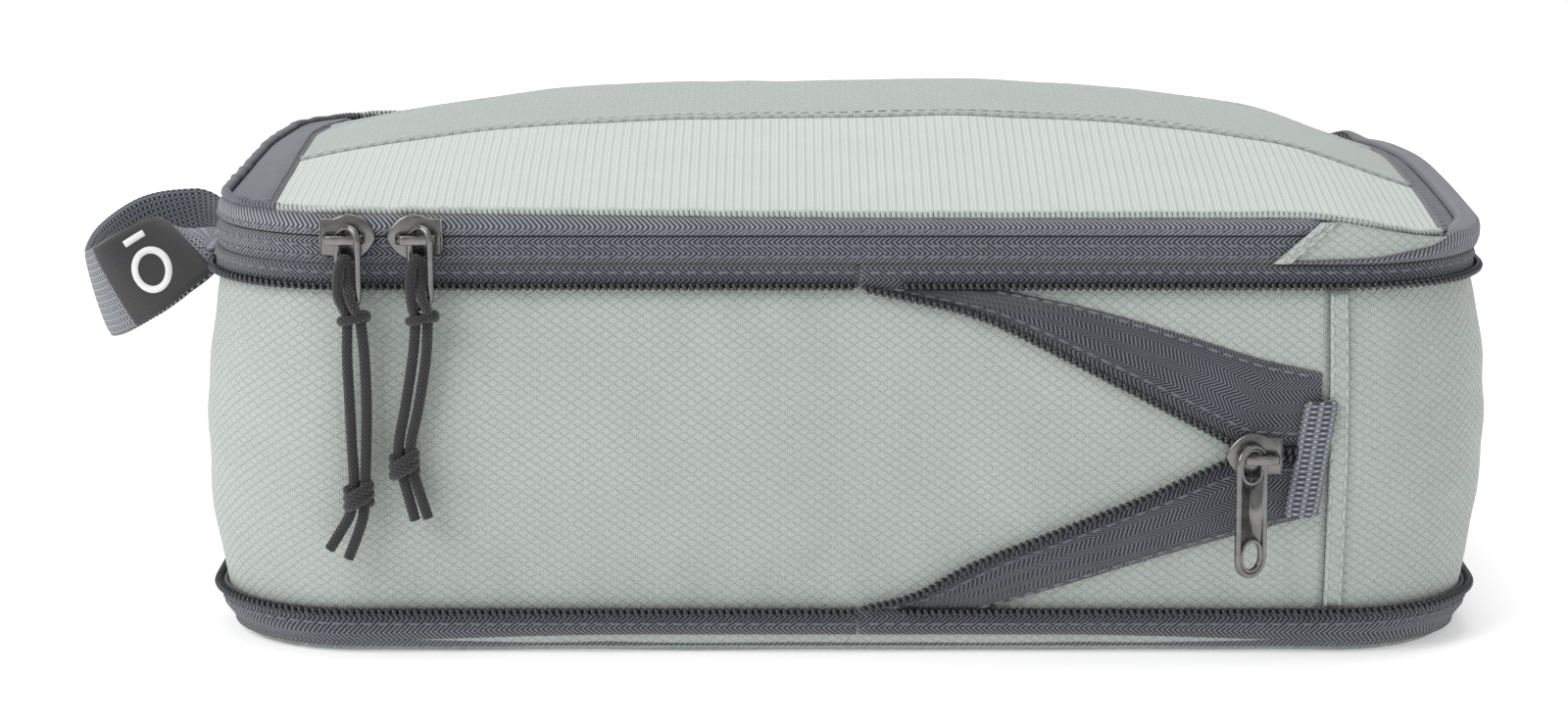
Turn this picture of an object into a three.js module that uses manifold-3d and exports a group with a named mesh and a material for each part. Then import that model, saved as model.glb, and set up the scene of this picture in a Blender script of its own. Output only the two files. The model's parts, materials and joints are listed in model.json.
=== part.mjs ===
// A small compression packing cube: a soft zipped case with a domed lid, and a second zip
// round its walls that pulls the lid down towards the floor panel.
// Millimetres, +Z up. The origin is the middle of the floor panel's underside, the front faces
// -Y, and the lid is sewn on along the +X end and opens at the -X end.
import * as THREE from "three";
import { mergeVertices } from "three/addons/utils/BufferGeometryUtils.js";
import Module from "manifold-3d";

const wasm = await Module();
wasm.setup();

// ---------- driving dimensions ----------
const HALF_LENGTH = 127; // plan outline of the walls, along X
const HALF_WIDTH = 90; // and along Y
const CORNER_RADIUS = 30;
const CORNER_STEPS = 8;
const GAP = 0.3; // between pieces that touch on the real case

const FLOOR_THICKNESS = 1.2;
const WALL_THICKNESS = 0.8;
const WALL_TOP = 79.2;
const WALL_BULGE = 4; // how far a stuffed wall stands out at half height

const LOWER_COIL_Z = 9.3; // the two rows of the compression zip, open
const UPPER_COIL_Z = 75.3;
const COIL_RADIUS = 0.95;
const COIL_STAND_OFF = 2.2; // of the coil's middle from the outline
const CLOSURE_Z = (LOWER_COIL_Z + UPPER_COIL_Z) / 2; // the row where the compression slider waits

const TAPE_INNER = 0.35; // compression tape, outside the wall
const TAPE_OUTER = 0.95;
const TAPE_START_X = 2; // the compression tapes start near the middle of the front, run round
const TAPE_END_X = 15; // the case and come back to here

const SLIT_Z = 85; // the parting line of the main zip
const SLIT_HALF = 0.8;
const RIM_BOTTOM = 79.6;
const LID_TAPE_TOP = 90.4;
const MAIN_TAPE_HALF_THICKNESS = 0.3;
const MAIN_COIL_OFFSET = -1.35; // the main zip's coil faces inwards
const MAIN_COIL_RADIUS = 0.8;
const CAP_TOP = 86.6; // of the flap that closes the main zip's two ends
const BINDING_TOP = 87.2;
const MAIN_ZIP_END_X = 80; // the main zip runs from here round the -X end and back to here

const DOME_RISE = 12.6;
const DOME_EDGE_Z = 90.8;
const DOME_INSET = 2.2; // the domed fabric starts this far inside the outline
const LID_THICKNESS = 0.8;
const BAND_HALF_WIDTH = 31; // the closed fabric band down the middle of the lid
const HINGE_X = 128.8; // the lid turns on the line where it is sewn to the end wall
const HINGE_Z = 87.8;

// ---------- colours ----------
function material(name, color, roughness, metalness) {
  return new THREE.MeshStandardMaterial({ name, color, roughness, metalness });
}
const sage = material("sage_ripstop", 0xb9c4bd, 0.75, 0);
const mesh = material("pale_mesh", 0xc8d2ca, 0.85, 0);
const slate = material("slate_tape", 0x5d6270, 0.8, 0);
const black = material("black_coil", 0x15171c, 0.35, 0);
const cordBlack = material("black_cord", 0x1c1c1c, 0.8, 0);
const label = material("black_label", 0x2c2c2c, 0.85, 0);
const gunmetal = material("gunmetal", 0x8c8a88, 0.3, 0.9);

// ---------- closed meshes ----------
// A geometry from vertices and triangles, with its faces turned outwards.
function closedGeometry(points, triangles) {
  let volume = 0;
  for (const [a, b, c] of triangles) {
    volume += points[a].dot(points[b].clone().cross(points[c]));
  }
  const index = triangles.flatMap(([a, b, c]) => (volume < 0 ? [a, c, b] : [a, b, c]));
  return new THREE.BufferGeometry().setFromPoints(points).setIndex(index);
}

// A section carried along stations. A station is {at, out, up}: a point and the two directions
// that the section's x and y are laid along.
function sweep(stations, section, closed = false) {
  const points = stations.flatMap(({ at, out, up }) =>
    section.map((s) => at.clone().addScaledVector(out, s.x).addScaledVector(up, s.y)),
  );
  const n = section.length;
  const triangles = [];
  const spans = closed ? stations.length : stations.length - 1;
  for (let i = 0; i < spans; i++) {
    const here = i * n;
    const next = ((i + 1) % stations.length) * n;
    for (let j = 0; j < n; j++) {
      const k = (j + 1) % n;
      triangles.push([here + j, next + j, next + k], [here + j, next + k, here + k]);
    }
  }
  if (!closed) {
    const last = (stations.length - 1) * n;
    for (const [a, b, c] of THREE.ShapeUtils.triangulateShape(section, [])) {
      triangles.push([a, b, c], [last + a, last + c, last + b]);
    }
  }
  return closedGeometry(points, triangles);
}

// A sheet with thickness: outer(u, v) and inner(u, v) give its two faces, u and v from 0 to 1.
function thickSheet(stepsU, stepsV, outer, inner) {
  const points = [];
  for (const face of [outer, inner]) {
    for (let i = 0; i <= stepsU; i++) {
      for (let j = 0; j <= stepsV; j++) points.push(face(i / stepsU, j / stepsV));
    }
  }
  const row = stepsV + 1;
  const layer = row * (stepsU + 1);
  const triangles = [];
  const quad = (a, b, c, d) => triangles.push([a, b, c], [a, c, d]);
  for (let i = 0; i < stepsU; i++) {
    for (let j = 0; j < stepsV; j++) {
      const a = i * row + j;
      quad(a, a + row, a + row + 1, a + 1);
      quad(layer + a, layer + a + 1, layer + a + row + 1, layer + a + row);
    }
  }
  const edge = (a, b) => quad(a, b, layer + b, layer + a);
  for (let i = 0; i < stepsU; i++) {
    edge((i + 1) * row, i * row);
    edge(i * row + stepsV, (i + 1) * row + stepsV);
  }
  for (let j = 0; j < stepsV; j++) {
    edge(j, j + 1);
    edge(stepsU * row + j + 1, stepsU * row + j);
  }
  return closedGeometry(points, triangles);
}

function solidOf(geometry) {
  const bare = geometry.clone();
  bare.deleteAttribute("normal");
  bare.deleteAttribute("uv");
  const merged = mergeVertices(bare, 1e-4);
  const vertProperties = merged.attributes.position.array;
  const triVerts = new Uint32Array(merged.index.array);
  return new wasm.Manifold(new wasm.Mesh({ numProp: 3, vertProperties, triVerts }));
}

function join(geometries) {
  const joined = geometries.map(solidOf).reduce((a, b) => a.add(b)).getMesh();
  return new THREE.BufferGeometry()
    .setAttribute("position", new THREE.BufferAttribute(joined.vertProperties, 3))
    .setIndex(new THREE.BufferAttribute(joined.triVerts, 1));
}

function rectangle(x0, x1, y0, y1) {
  return [
    new THREE.Vector2(x0, y0),
    new THREE.Vector2(x1, y0),
    new THREE.Vector2(x1, y1),
    new THREE.Vector2(x0, y1),
  ];
}

function circle(x, y, radius, sides = 8) {
  return Array.from({ length: sides }, (_, i) => {
    const turn = ((i + 0.5) / sides) * 2 * Math.PI;
    return new THREE.Vector2(x + radius * Math.cos(turn), y + radius * Math.sin(turn));
  });
}

// ---------- the plan outline ----------
const UP = new THREE.Vector3(0, 0, 1);
const FRONT = new THREE.Vector3(0, -1, 0);
const BACK = new THREE.Vector3(0, 1, 0);

function stationAt(x, y, out) {
  return { at: new THREE.Vector3(x, y, 0), out, up: UP };
}
const onFront = (x) => stationAt(x, -HALF_WIDTH, FRONT);
const onBack = (x) => stationAt(x, HALF_WIDTH, BACK);

// One rounded corner, met while going round with the case on the right hand.
function corner(sideX, sideY, fromDegrees) {
  const centre = [sideX * (HALF_LENGTH - CORNER_RADIUS), sideY * (HALF_WIDTH - CORNER_RADIUS)];
  return Array.from({ length: CORNER_STEPS + 1 }, (_, i) => {
    const turn = THREE.MathUtils.degToRad(fromDegrees - (90 * i) / CORNER_STEPS);
    const out = new THREE.Vector3(Math.cos(turn), Math.sin(turn), 0);
    return stationAt(centre[0] + CORNER_RADIUS * out.x, centre[1] + CORNER_RADIUS * out.y, out);
  });
}
const frontLeft = corner(-1, -1, 270);
const backLeft = corner(-1, 1, 180);
const backRight = corner(1, 1, 90);
const frontRight = corner(1, -1, 360);

const wholeLoop = [...frontLeft, ...backLeft, ...backRight, ...frontRight];
const aroundFree = (x) => [onFront(x), ...frontLeft, ...backLeft, onBack(x)];
const aroundHinge = (x) => [onBack(x), ...backRight, ...frontRight, onFront(x)];
const loopFromFront = [
  onFront(TAPE_START_X),
  ...frontLeft,
  ...backLeft,
  ...backRight,
  ...frontRight,
  onFront(TAPE_END_X),
];

function bandSection(inner, outer, bottom, top) {
  return rectangle(inner, outer, bottom, top);
}

// How far the wall's outer face stands outside the outline at a height.
function bulgeAt(z) {
  const share = (z - LOWER_COIL_Z) / (UPPER_COIL_Z - LOWER_COIL_Z);
  return share <= 0 || share >= 1 ? 0 : WALL_BULGE * Math.sin(Math.PI * share);
}

// ---------- walls and floor ----------
const WALL_BOTTOM = FLOOR_THICKNESS + 0.4;
const WALL_LEVELS = [WALL_BOTTOM, LOWER_COIL_Z, 19, 30, CLOSURE_Z, 55, 66, UPPER_COIL_Z, WALL_TOP];

function wallSection() {
  const outside = WALL_LEVELS.map((z) => new THREE.Vector2(bulgeAt(z), z));
  const inside = WALL_LEVELS.map((z) => new THREE.Vector2(bulgeAt(z) - WALL_THICKNESS, z));
  return [...outside, ...inside.reverse()];
}

function floorPanel() {
  const inset = -1;
  const edge = wholeLoop.map(({ at, out }) => at.clone().addScaledVector(out, inset));
  const shape = new THREE.Shape(edge.map((p) => new THREE.Vector2(p.x, p.y)));
  return new THREE.ExtrudeGeometry(shape, { depth: FLOOR_THICKNESS, bevelEnabled: false });
}

const WALL_SEAM_X = 95.5; // the end panel is let in behind this seam

// ---------- the compression zip's run-in across the front ----------
// Each row of the zip leaves its edge at the middle of the front and slants to the slider.
const RUN_IN = {
  upper: {
    coil: [[3.4, 74.8], [14, 72.6], [27.6, 69], [47.2, 59.6], [62, 52], [72.5, 46.6]],
    edge: [[31, 74.2], [49, 70.6], [66.9, 65.6], [93.5, 58.4]],
  },
  lower: {
    coil: [[3.4, 9.8], [14, 12.9], [27.6, 20.2], [57.1, 32.2], [72.5, 39.4]],
    edge: [[28, 9.8], [57.1, 19.1], [75, 24.6], [93.5, 29.6]],
  },
};

function planLine(points) {
  return new THREE.SplineCurve(points.map(([x, z]) => new THREE.Vector2(x, z)));
}

// A point on the front wall's outer face, at a height and a distance in front of it.
function onWall(x, z, proud) {
  return new THREE.Vector3(x, -HALF_WIDTH - bulgeAt(z) - proud, z);
}

function runInTape({ coil, edge }) {
  const [inner, outer] = [planLine(coil), planLine(edge)];
  const inset = 0.06; // the tape stops short of the coil's own line
  const face = (proud) => (u, v) => {
    const p = inner.getPoint(u).lerp(outer.getPoint(u), inset + (1 - inset) * v);
    return onWall(p.x, p.y, proud);
  };
  return thickSheet(14, 2, face(TAPE_OUTER), face(TAPE_INNER));
}

function runInCoil({ coil }) {
  const line = planLine(coil);
  const curve = new THREE.CatmullRomCurve3(
    line.getPoints(12).map((p) => onWall(p.x, p.y, COIL_STAND_OFF)),
  );
  const section = new THREE.Shape(circle(0, 0, COIL_RADIUS, 6));
  return new THREE.ExtrudeGeometry(section, { steps: 16, extrudePath: curve });
}

// ---------- lid ----------
// The dome's outer face over a plan point: flat at the edge, highest in the middle.
function domeZ(x, y) {
  const along = 1 - Math.pow(Math.abs(x) / (HALF_LENGTH - DOME_INSET), 2.6);
  const across = 1 - Math.pow(Math.abs(y) / (HALF_WIDTH - DOME_INSET), 2.2);
  return DOME_EDGE_Z + LID_THICKNESS + DOME_RISE * Math.pow(Math.max(0, along * across), 0.55);
}

// Half the lid fabric's width at x, inside the rounded corners.
function lidHalfWidth(x) {
  const radius = CORNER_RADIUS - DOME_INSET;
  const past = Math.max(0, Math.abs(x) - (HALF_LENGTH - CORNER_RADIUS));
  return HALF_WIDTH - CORNER_RADIUS + Math.sqrt(Math.max(0, radius * radius - past * past));
}

// One panel of the lid, between two plan lines near(x) and far(x).
const LID_END_X = HALF_LENGTH - DOME_INSET - 0.6;
const HINGE_HEM_X = 120; // the lid's fabric stops here at the hinge end, and the hem goes on
function lidPanel(near, far, steps, fromX = -LID_END_X, toX = HINGE_HEM_X - GAP) {
  const place = (lift) => (u, v) => {
    const x = THREE.MathUtils.lerp(fromX, toX, u);
    const y = THREE.MathUtils.lerp(near(x), far(x), v);
    return new THREE.Vector3(x, y, domeZ(x, y) + lift);
  };
  const lengthSteps = Math.max(4, Math.round((toX - fromX) / 9));
  return thickSheet(lengthSteps, steps, place(0), place(-LID_THICKNESS));
}

// The mesh is cut in four where the dome turns down to the zip: its flat top, the long edge
// and the two ends. That keeps the hollow under the dome open to whatever fills the case.
const MESH_TURN_X = 100;
const MESH_TURN_Y = 66;
function addMesh(name, side) {
  const turn = side * MESH_TURN_Y;
  const bandEdge = side * (BAND_HALF_WIDTH + GAP);
  const panel = (y0, y1, steps, x0, x1) => {
    const [near, far] = side < 0 ? [y0, y1] : [y1, y0];
    return lidPanel(near, far, steps, x0, x1);
  };
  const top = panel(() => turn, () => bandEdge, 6, -MESH_TURN_X, MESH_TURN_X);
  add(name, top, mesh);
  const zipSide = (x) => side * lidHalfWidth(x);
  const edgeInner = () => turn + side * GAP;
  add(`${name}_edge`, panel(zipSide, edgeInner, 4, 2 - LID_END_X), mesh);
  const freeEnd = -MESH_TURN_X - GAP;
  add(`${name}_free_end`, panel(() => turn, () => bandEdge, 6, -LID_END_X, freeEnd), mesh);
  const hingeEnd = MESH_TURN_X + GAP;
  add(`${name}_hinge_end`, panel(() => turn, () => bandEdge, 6, hingeEnd), mesh);
}

// The strip that carries the lid's fabric to the hinge line.
function lidHingeHem() {
  const halfWidth = HALF_WIDTH - CORNER_RADIUS + 8;
  const outer = (u, v) => {
    const x = THREE.MathUtils.lerp(HINGE_HEM_X, HALF_LENGTH + 0.8, u);
    const y = THREE.MathUtils.lerp(-halfWidth, halfWidth, v);
    const edgeZ = HINGE_Z + 1.5;
    return new THREE.Vector3(x, y, THREE.MathUtils.lerp(domeZ(HINGE_HEM_X, y), edgeZ, u));
  };
  const inner = (u, v) => outer(u, v).add(new THREE.Vector3(0, 0, -LID_THICKNESS));
  return thickSheet(4, 12, outer, inner);
}

// ---------- zip sliders ----------
// Local frame: x along the zip towards the slider's nose, y across it, z out of the fabric.
const PLATE_BOTTOM = 0.7;
const PLATE_TOP = 1.5;
const BAR_Z = 5.7; // middle of the bridge bar
const BAR_HALF = { y: 0.8, z: 0.45 };
const BRIDGE_X = { rear: -4.6, nose: 3.6 };
const RING_TURN = THREE.MathUtils.degToRad(53); // a hanging pull is turned this far from square on

function plateShape(scale) {
  const shape = new THREE.Shape();
  shape.moveTo(-5.6 * scale, -3.7 * scale);
  shape.lineTo(-2.6 * scale, -3.8 * scale);
  shape.quadraticCurveTo(-1 * scale, -4.6 * scale, 0.6 * scale, -4.6 * scale);
  shape.quadraticCurveTo(4.6 * scale, -4 * scale, 5.6 * scale, 0);
  shape.quadraticCurveTo(4.6 * scale, 4 * scale, 0.6 * scale, 4.6 * scale);
  shape.quadraticCurveTo(-1 * scale, 4.6 * scale, -2.6 * scale, 3.8 * scale);
  shape.lineTo(-5.6 * scale, 3.7 * scale);
  shape.closePath();
  return shape;
}

function slab(shape, bottom, top) {
  const options = { depth: top - bottom, bevelEnabled: false, curveSegments: 5 };
  return new THREE.ExtrudeGeometry(shape, options).translate(0, 0, bottom);
}

function block(x0, x1, y0, y1, z0, z1) {
  return new THREE.BoxGeometry(x1 - x0, y1 - y0, z1 - z0).translate(
    (x0 + x1) / 2,
    (y0 + y1) / 2,
    (z0 + z1) / 2,
  );
}

// Two plates joined by the post that parts the teeth. lift raises the whole slider.
function sliderBody(innerPlate, lift) {
  return join([
    slab(plateShape(1), PLATE_BOTTOM, PLATE_TOP),
    slab(plateShape(0.72), innerPlate.bottom, innerPlate.top),
    block(1.2, 4, -0.5, 0.5, innerPlate.bottom + 0.1, PLATE_BOTTOM + 0.1),
  ]).translate(0, 0, lift);
}

function sliderBridge(lift) {
  const legFoot = PLATE_TOP + GAP;
  const { rear, nose } = BRIDGE_X;
  const barBottom = BAR_Z - BAR_HALF.z;
  const barTop = BAR_Z + BAR_HALF.z;
  return join([
    block(rear, nose, -BAR_HALF.y, BAR_HALF.y, barBottom, barTop),
    block(rear, rear + 0.9, -BAR_HALF.y, BAR_HALF.y, legFoot, barBottom + 0.1),
    block(nose - 0.9, nose, -BAR_HALF.y, BAR_HALF.y, legFoot, barBottom + 0.1),
  ]).translate(0, 0, lift);
}

// The stations of a long ring in its own plane, x across and y along, its top arc at y = top.
function ringStations(halfWidth, top, bottom) {
  const steps = 8;
  const ends = [
    [top - halfWidth, 0],
    [bottom + halfWidth, 180],
  ];
  return ends.flatMap(([y, from]) =>
    Array.from({ length: steps + 1 }, (_, i) => {
      const turn = THREE.MathUtils.degToRad(from + (180 * i) / steps);
      const out = new THREE.Vector3(Math.cos(turn), Math.sin(turn), 0);
      const at = new THREE.Vector3(halfWidth * out.x, y + halfWidth * out.y, 0);
      return { at, out, up: UP };
    }),
  );
}

const RING = { halfWidth: 2.7, top: 2.5, bottom: -13.3, wire: 0.65 };
function pullRing() {
  const stations = ringStations(RING.halfWidth, RING.top, RING.bottom);
  return sweep(stations, circle(0, 0, RING.wire), true);
}

function roundedSlot(halfWidth, top, bottom, kind = THREE.Shape) {
  const slot = new kind();
  slot.absarc(0, top - halfWidth, halfWidth, 0, Math.PI, false);
  slot.absarc(0, bottom + halfWidth, halfWidth, Math.PI, 2 * Math.PI, false);
  slot.closePath();
  return slot;
}

const PULLER = { halfWidth: 4, top: 3.3, bottom: -23.6, thickness: 1.1 };
function stampedPuller() {
  const shape = roundedSlot(PULLER.halfWidth, PULLER.top, PULLER.bottom);
  const eye = roundedSlot(2.7, 2.4, -4.4, THREE.Path);
  const slot = roundedSlot(2.4, -16.4, PULLER.bottom + 1.5, THREE.Path);
  shape.holes.push(eye, slot);
  return slab(shape, -PULLER.thickness / 2, PULLER.thickness / 2);
}

// ---------- cords ----------
const CORD_RADIUS = 1.1;

// A run of cord through points [x, z, distance in front of the outline].
function cordRun(points) {
  const curve = new THREE.CatmullRomCurve3(
    points.map(([x, z, proud]) => new THREE.Vector3(x, -HALF_WIDTH - proud, z)),
  );
  const section = new THREE.Shape(circle(0, 0, CORD_RADIUS));
  const steps = Math.round(curve.getLength() / (2.5 * 2 * CORD_RADIUS));
  return new THREE.ExtrudeGeometry(section, { steps, extrudePath: curve });
}

const CORDS = {
  left: {
    runA: [[-98.1, 70.7, 6.6], [-98.3, 62, 6.8], [-97.9, 52, 7.2], [-97.6, 44, 7.6], [-97.3, 38.6, 7.8]],
    runB: [[-95.7, 70.7, 6.6], [-94.9, 62, 6.8], [-94.6, 52, 7.2], [-94.8, 44, 7.6], [-95, 38.6, 7.8]],
    knot: [-96.4, 34.4, 8],
    tailA: [[-98.2, 30.6, 7.8], [-100.3, 26.8, 7.6], [-102.4, 23.4, 7.4]],
    tailB: [[-95.6, 30.2, 7.8], [-97, 25.8, 7.6], [-98.7, 21.6, 7.4]],
  },
  right: {
    runA: [[-84.6, 70.7, 6.6], [-85.4, 62, 6.8], [-87, 52, 7.2], [-88.3, 45.2, 7.8]],
    runB: [[-82.3, 70.7, 6.6], [-82.8, 62, 6.8], [-84.4, 52, 7.2], [-85.9, 45.2, 7.8]],
    knot: [-87.3, 40.8, 8],
    tailA: [[-87.2, 36.6, 7.8], [-86.3, 33, 7.6], [-85.4, 29.4, 7.4]],
    tailB: [[-84.9, 36.8, 7.8], [-83.9, 33.4, 7.6], [-82.8, 29.8, 7.4]],
  },
};
const KNOT_RADII = [3, 2.9, 3.9];

function cordKnot([x, z, proud]) {
  return new THREE.SphereGeometry(1, 10, 8)
    .scale(...KNOT_RADII)
    .translate(x, -HALF_WIDTH - proud, z);
}

// ---------- webbing ----------
// The faces of a strap through points, its width laid along the given directions: facing(off)
// is the face at a distance off from the strap's middle.
function strapFaces(points, widths, halfWidth) {
  const line = new THREE.CatmullRomCurve3(points.map((p) => new THREE.Vector3(...p)));
  const lean = new THREE.CatmullRomCurve3(widths.map((w) => new THREE.Vector3(...w)));
  return (off, from = 0, to = 1) => (u, v) => {
    const share = THREE.MathUtils.lerp(from, to, u);
    const tangent = line.getTangent(share);
    const across = lean.getPoint(share).projectOnPlane(tangent).normalize();
    return line
      .getPoint(share)
      .addScaledVector(across, halfWidth * (2 * v - 1))
      .addScaledVector(tangent.cross(across), off);
  };
}

// The grab loop springs from the rim by the front left corner and droops. Its webbing lies
// flat where it is sewn in and stands on edge at the far end.
const HANDLE = {
  points: [
    [-129, -48, 78],
    [-132, -48.2, 77.9],
    [-139, -52.5, 75.4],
    [-147, -52, 70.5],
    [-154, -44, 66],
    [-157.5, -32, 64.6],
    [-156, -19, 67.6],
    [-149, -9, 72.4],
    [-139, -4.2, 76.6],
    [-132, -2.4, 77.9],
    [-129, -2.4, 78],
  ],
  widths: [
    [0, 1, 0],
    [-0.1, 0.97, 0.2],
    [-0.4, 0.5, 0.75],
    [-0.5, 0.1, 0.85],
    [-0.35, 0.02, 0.92],
    [-0.25, 0, 0.97],
    [-0.25, -0.05, 0.97],
    [-0.3, -0.3, 0.9],
    [-0.2, -0.75, 0.6],
    [-0.05, -0.98, 0.15],
    [0, -1, 0],
  ],
  halfWidth: 9.5,
  halfThickness: 0.6,
};
const handleFace = strapFaces(HANDLE.points, HANDLE.widths, HANDLE.halfWidth);

function grabLoop() {
  return thickSheet(30, 2, handleFace(HANDLE.halfThickness), handleFace(-HANDLE.halfThickness));
}

// A woven label sewn on the face of the loop's front strand.
const LABEL = { from: 0.16, to: 0.33, halfWidth: 8.8, thickness: 0.6, gap: 0.45 };
function sizeLabel() {
  const face = strapFaces(HANDLE.points, HANDLE.widths, LABEL.halfWidth);
  const inner = -HANDLE.halfThickness - LABEL.gap;
  const outer = inner - LABEL.thickness;
  return thickSheet(6, 2, face(outer, LABEL.from, LABEL.to), face(inner, LABEL.from, LABEL.to));
}

// The folded webbing tab that the compression slider parks against.
const TAB = { left: 88.6, right: 95, bottom: 29.5, top: 53, proud: 1.3, depth: 3.4 };
function parkingTab() {
  const { left, right, proud, depth } = TAB;
  const middle = proud + depth / 2;
  const radius = depth / 2;
  const steps = 6;
  const outside = [[right, proud], [right, proud + depth]];
  const inside = [];
  for (let i = 0; i <= steps; i++) {
    const turn = Math.PI / 2 + (Math.PI * i) / steps;
    outside.push([left + radius + radius * Math.cos(turn), middle + radius * Math.sin(turn)]);
  }
  const thickness = 0.9;
  const inner = radius - thickness;
  for (let i = steps; i >= 0; i--) {
    const turn = Math.PI / 2 + (Math.PI * i) / steps;
    inside.push([left + radius + inner * Math.cos(turn), middle + inner * Math.sin(turn)]);
  }
  const outerFold = outside.slice(1);
  const section = [...outerFold, [right, proud], [right, proud + thickness], ...inside];
  section.push([right, proud + depth - thickness]);
  const shape = new THREE.Shape(section.map(([x, y]) => new THREE.Vector2(x, y)));
  const options = { depth: TAB.top - TAB.bottom, bevelEnabled: false };
  return new THREE.ExtrudeGeometry(shape, options);
}

// ---------- assembly ----------
const cube = new THREE.Group();

function add(name, geometry, finish, parent = cube) {
  const piece = new THREE.Mesh(geometry, finish);
  piece.name = name;
  parent.add(piece);
  return piece;
}

// Bound seams inside the case: the tape stands this far inside the outline.
const SEAM_BINDING = { inner: -2, outer: -1.1 };
const floorBinding = bandSection(SEAM_BINDING.inner, SEAM_BINDING.outer, 1.5, 8);
const rimBinding = bandSection(SEAM_BINDING.inner, SEAM_BINDING.outer, 71, WALL_TOP);

// Floor and walls.
add("floor_panel", floorPanel(), sage);
add("floor_seam_binding", sweep(wholeLoop, floorBinding, true), slate);
const mainWallRun = aroundFree(WALL_SEAM_X - GAP);
const endWallRun = aroundHinge(WALL_SEAM_X);
add("main_wall_panel", sweep(mainWallRun, wallSection()), sage);
add("hinge_end_wall_panel", sweep(endWallRun, wallSection()), sage);

// Compression zip, lower row.
const lowerTape = bandSection(TAPE_INNER, TAPE_OUTER, 2.4, LOWER_COIL_Z - 0.3);
add("lower_compression_tape", sweep(loopFromFront, lowerTape), slate);
const lowerCoil = circle(COIL_STAND_OFF, LOWER_COIL_Z, COIL_RADIUS, 6);
add("lower_compression_coil", sweep(loopFromFront, lowerCoil), black);

// Compression zip, upper row, and the rim that it is sewn to.
const upperTape = bandSection(TAPE_INNER, TAPE_OUTER, UPPER_COIL_Z + 0.3, WALL_TOP);
add("upper_compression_tape", sweep(loopFromFront, upperTape), slate);
const upperCoil = circle(COIL_STAND_OFF, UPPER_COIL_Z, COIL_RADIUS, 6);
add("upper_compression_coil", sweep(loopFromFront, upperCoil), black);
add("rim_seam_binding", sweep(wholeLoop, rimBinding, true), slate);

for (const [row, lines] of Object.entries(RUN_IN)) {
  add(`${row}_run_in_tape`, runInTape(lines), slate);
  add(`${row}_run_in_coil`, runInCoil(lines), black);
}

// Main zip: one tape on the rim and one on the lid, each with its coil inside.
const mainRun = aroundFree(MAIN_ZIP_END_X);
const half = MAIN_TAPE_HALF_THICKNESS;
add("rim_zip_tape", sweep(mainRun, bandSection(-half, half, RIM_BOTTOM, SLIT_Z - SLIT_HALF)), slate);
add("lid_zip_tape", sweep(mainRun, bandSection(-half, half, SLIT_Z + SLIT_HALF, LID_TAPE_TOP)), slate);
const coilGap = SLIT_HALF + MAIN_COIL_RADIUS;
for (const [name, side] of [["rim_zip_coil", -1], ["lid_zip_coil", 1]]) {
  const section = circle(MAIN_COIL_OFFSET, SLIT_Z + side * coilGap, MAIN_COIL_RADIUS, 6);
  add(name, sweep(mainRun, section), slate);
}

// The hinge end: the cap that closes the zip's two ends, and the binding over it.
const capRun = aroundHinge(MAIN_ZIP_END_X + GAP);
add("end_cap_panel", sweep(capRun, bandSection(-0.8, 0, RIM_BOTTOM, CAP_TOP)), sage);
const bindingRun = [...backRight, ...frontRight];
add("hinge_binding", sweep(bindingRun, bandSection(GAP, 1.3, RIM_BOTTOM, BINDING_TOP)), slate);

// Lid.
const bandNear = () => -BAND_HALF_WIDTH;
const bandFar = () => BAND_HALF_WIDTH;
addMesh("lid_front_mesh", -1);
add("lid_centre_band", lidPanel(bandNear, bandFar, 8), sage);
addMesh("lid_back_mesh", 1);
add("lid_hinge_hem", lidHingeHem(), slate);

// Sliders on the main zip. Their noses meet, so both are closed up at the front left corner.
function sliderGroup(x, z, proud, noseRight) {
  const group = new THREE.Group();
  group.position.set(x, -HALF_WIDTH - proud, z);
  group.rotation.x = Math.PI / 2;
  group.userData.noseRight = noseRight;
  cube.add(group);
  return group;
}

// The plate behind the teeth, which stands deeper on the main zip's thick tapes.
const MAIN_INNER_PLATE = { bottom: -3.5, top: -2.9 };
const COMPRESSION_INNER_PLATE = { bottom: -1.2, top: -0.7 };

function addSlider(name, group, plate, lift = 0) {
  const turn = group.userData.noseRight ? 0 : Math.PI;
  add(`${name}_slider_body`, sliderBody(plate, lift).rotateZ(turn), gunmetal, group);
  add(`${name}_slider_bridge`, sliderBridge(lift).rotateZ(turn), gunmetal, group);
}

// A pull hangs round the bridge bar at x, its front side turned towards frontSide.
function addPull(name, geometry, group, x, frontSide, lift = 0) {
  const pull = add(name, geometry, gunmetal, group);
  pull.position.set(x, 0, BAR_Z + lift);
  pull.rotation.y = frontSide * (RING_TURN - Math.PI / 2);
}

const mainSliders = {
  left: { x: -98.4, noseRight: true, ringX: 0.4, frontSide: 1 },
  right: { x: -85.2, noseRight: false, ringX: 1.4, frontSide: 1 },
};
for (const [side, s] of Object.entries(mainSliders)) {
  const group = sliderGroup(s.x, SLIT_Z, 0, s.noseRight);
  addSlider(side, group, MAIN_INNER_PLATE);
  addPull(`${side}_pull_ring`, pullRing(), group, s.ringX, s.frontSide);
}

for (const [side, c] of Object.entries(CORDS)) {
  add(`${side}_cord_run_a`, cordRun(c.runA), cordBlack);
  add(`${side}_cord_run_b`, cordRun(c.runB), cordBlack);
  add(`${side}_cord_knot`, cordKnot(c.knot), cordBlack);
  add(`${side}_cord_tail_a`, cordRun(c.tailA), cordBlack);
  add(`${side}_cord_tail_b`, cordRun(c.tailB), cordBlack);
}

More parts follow.
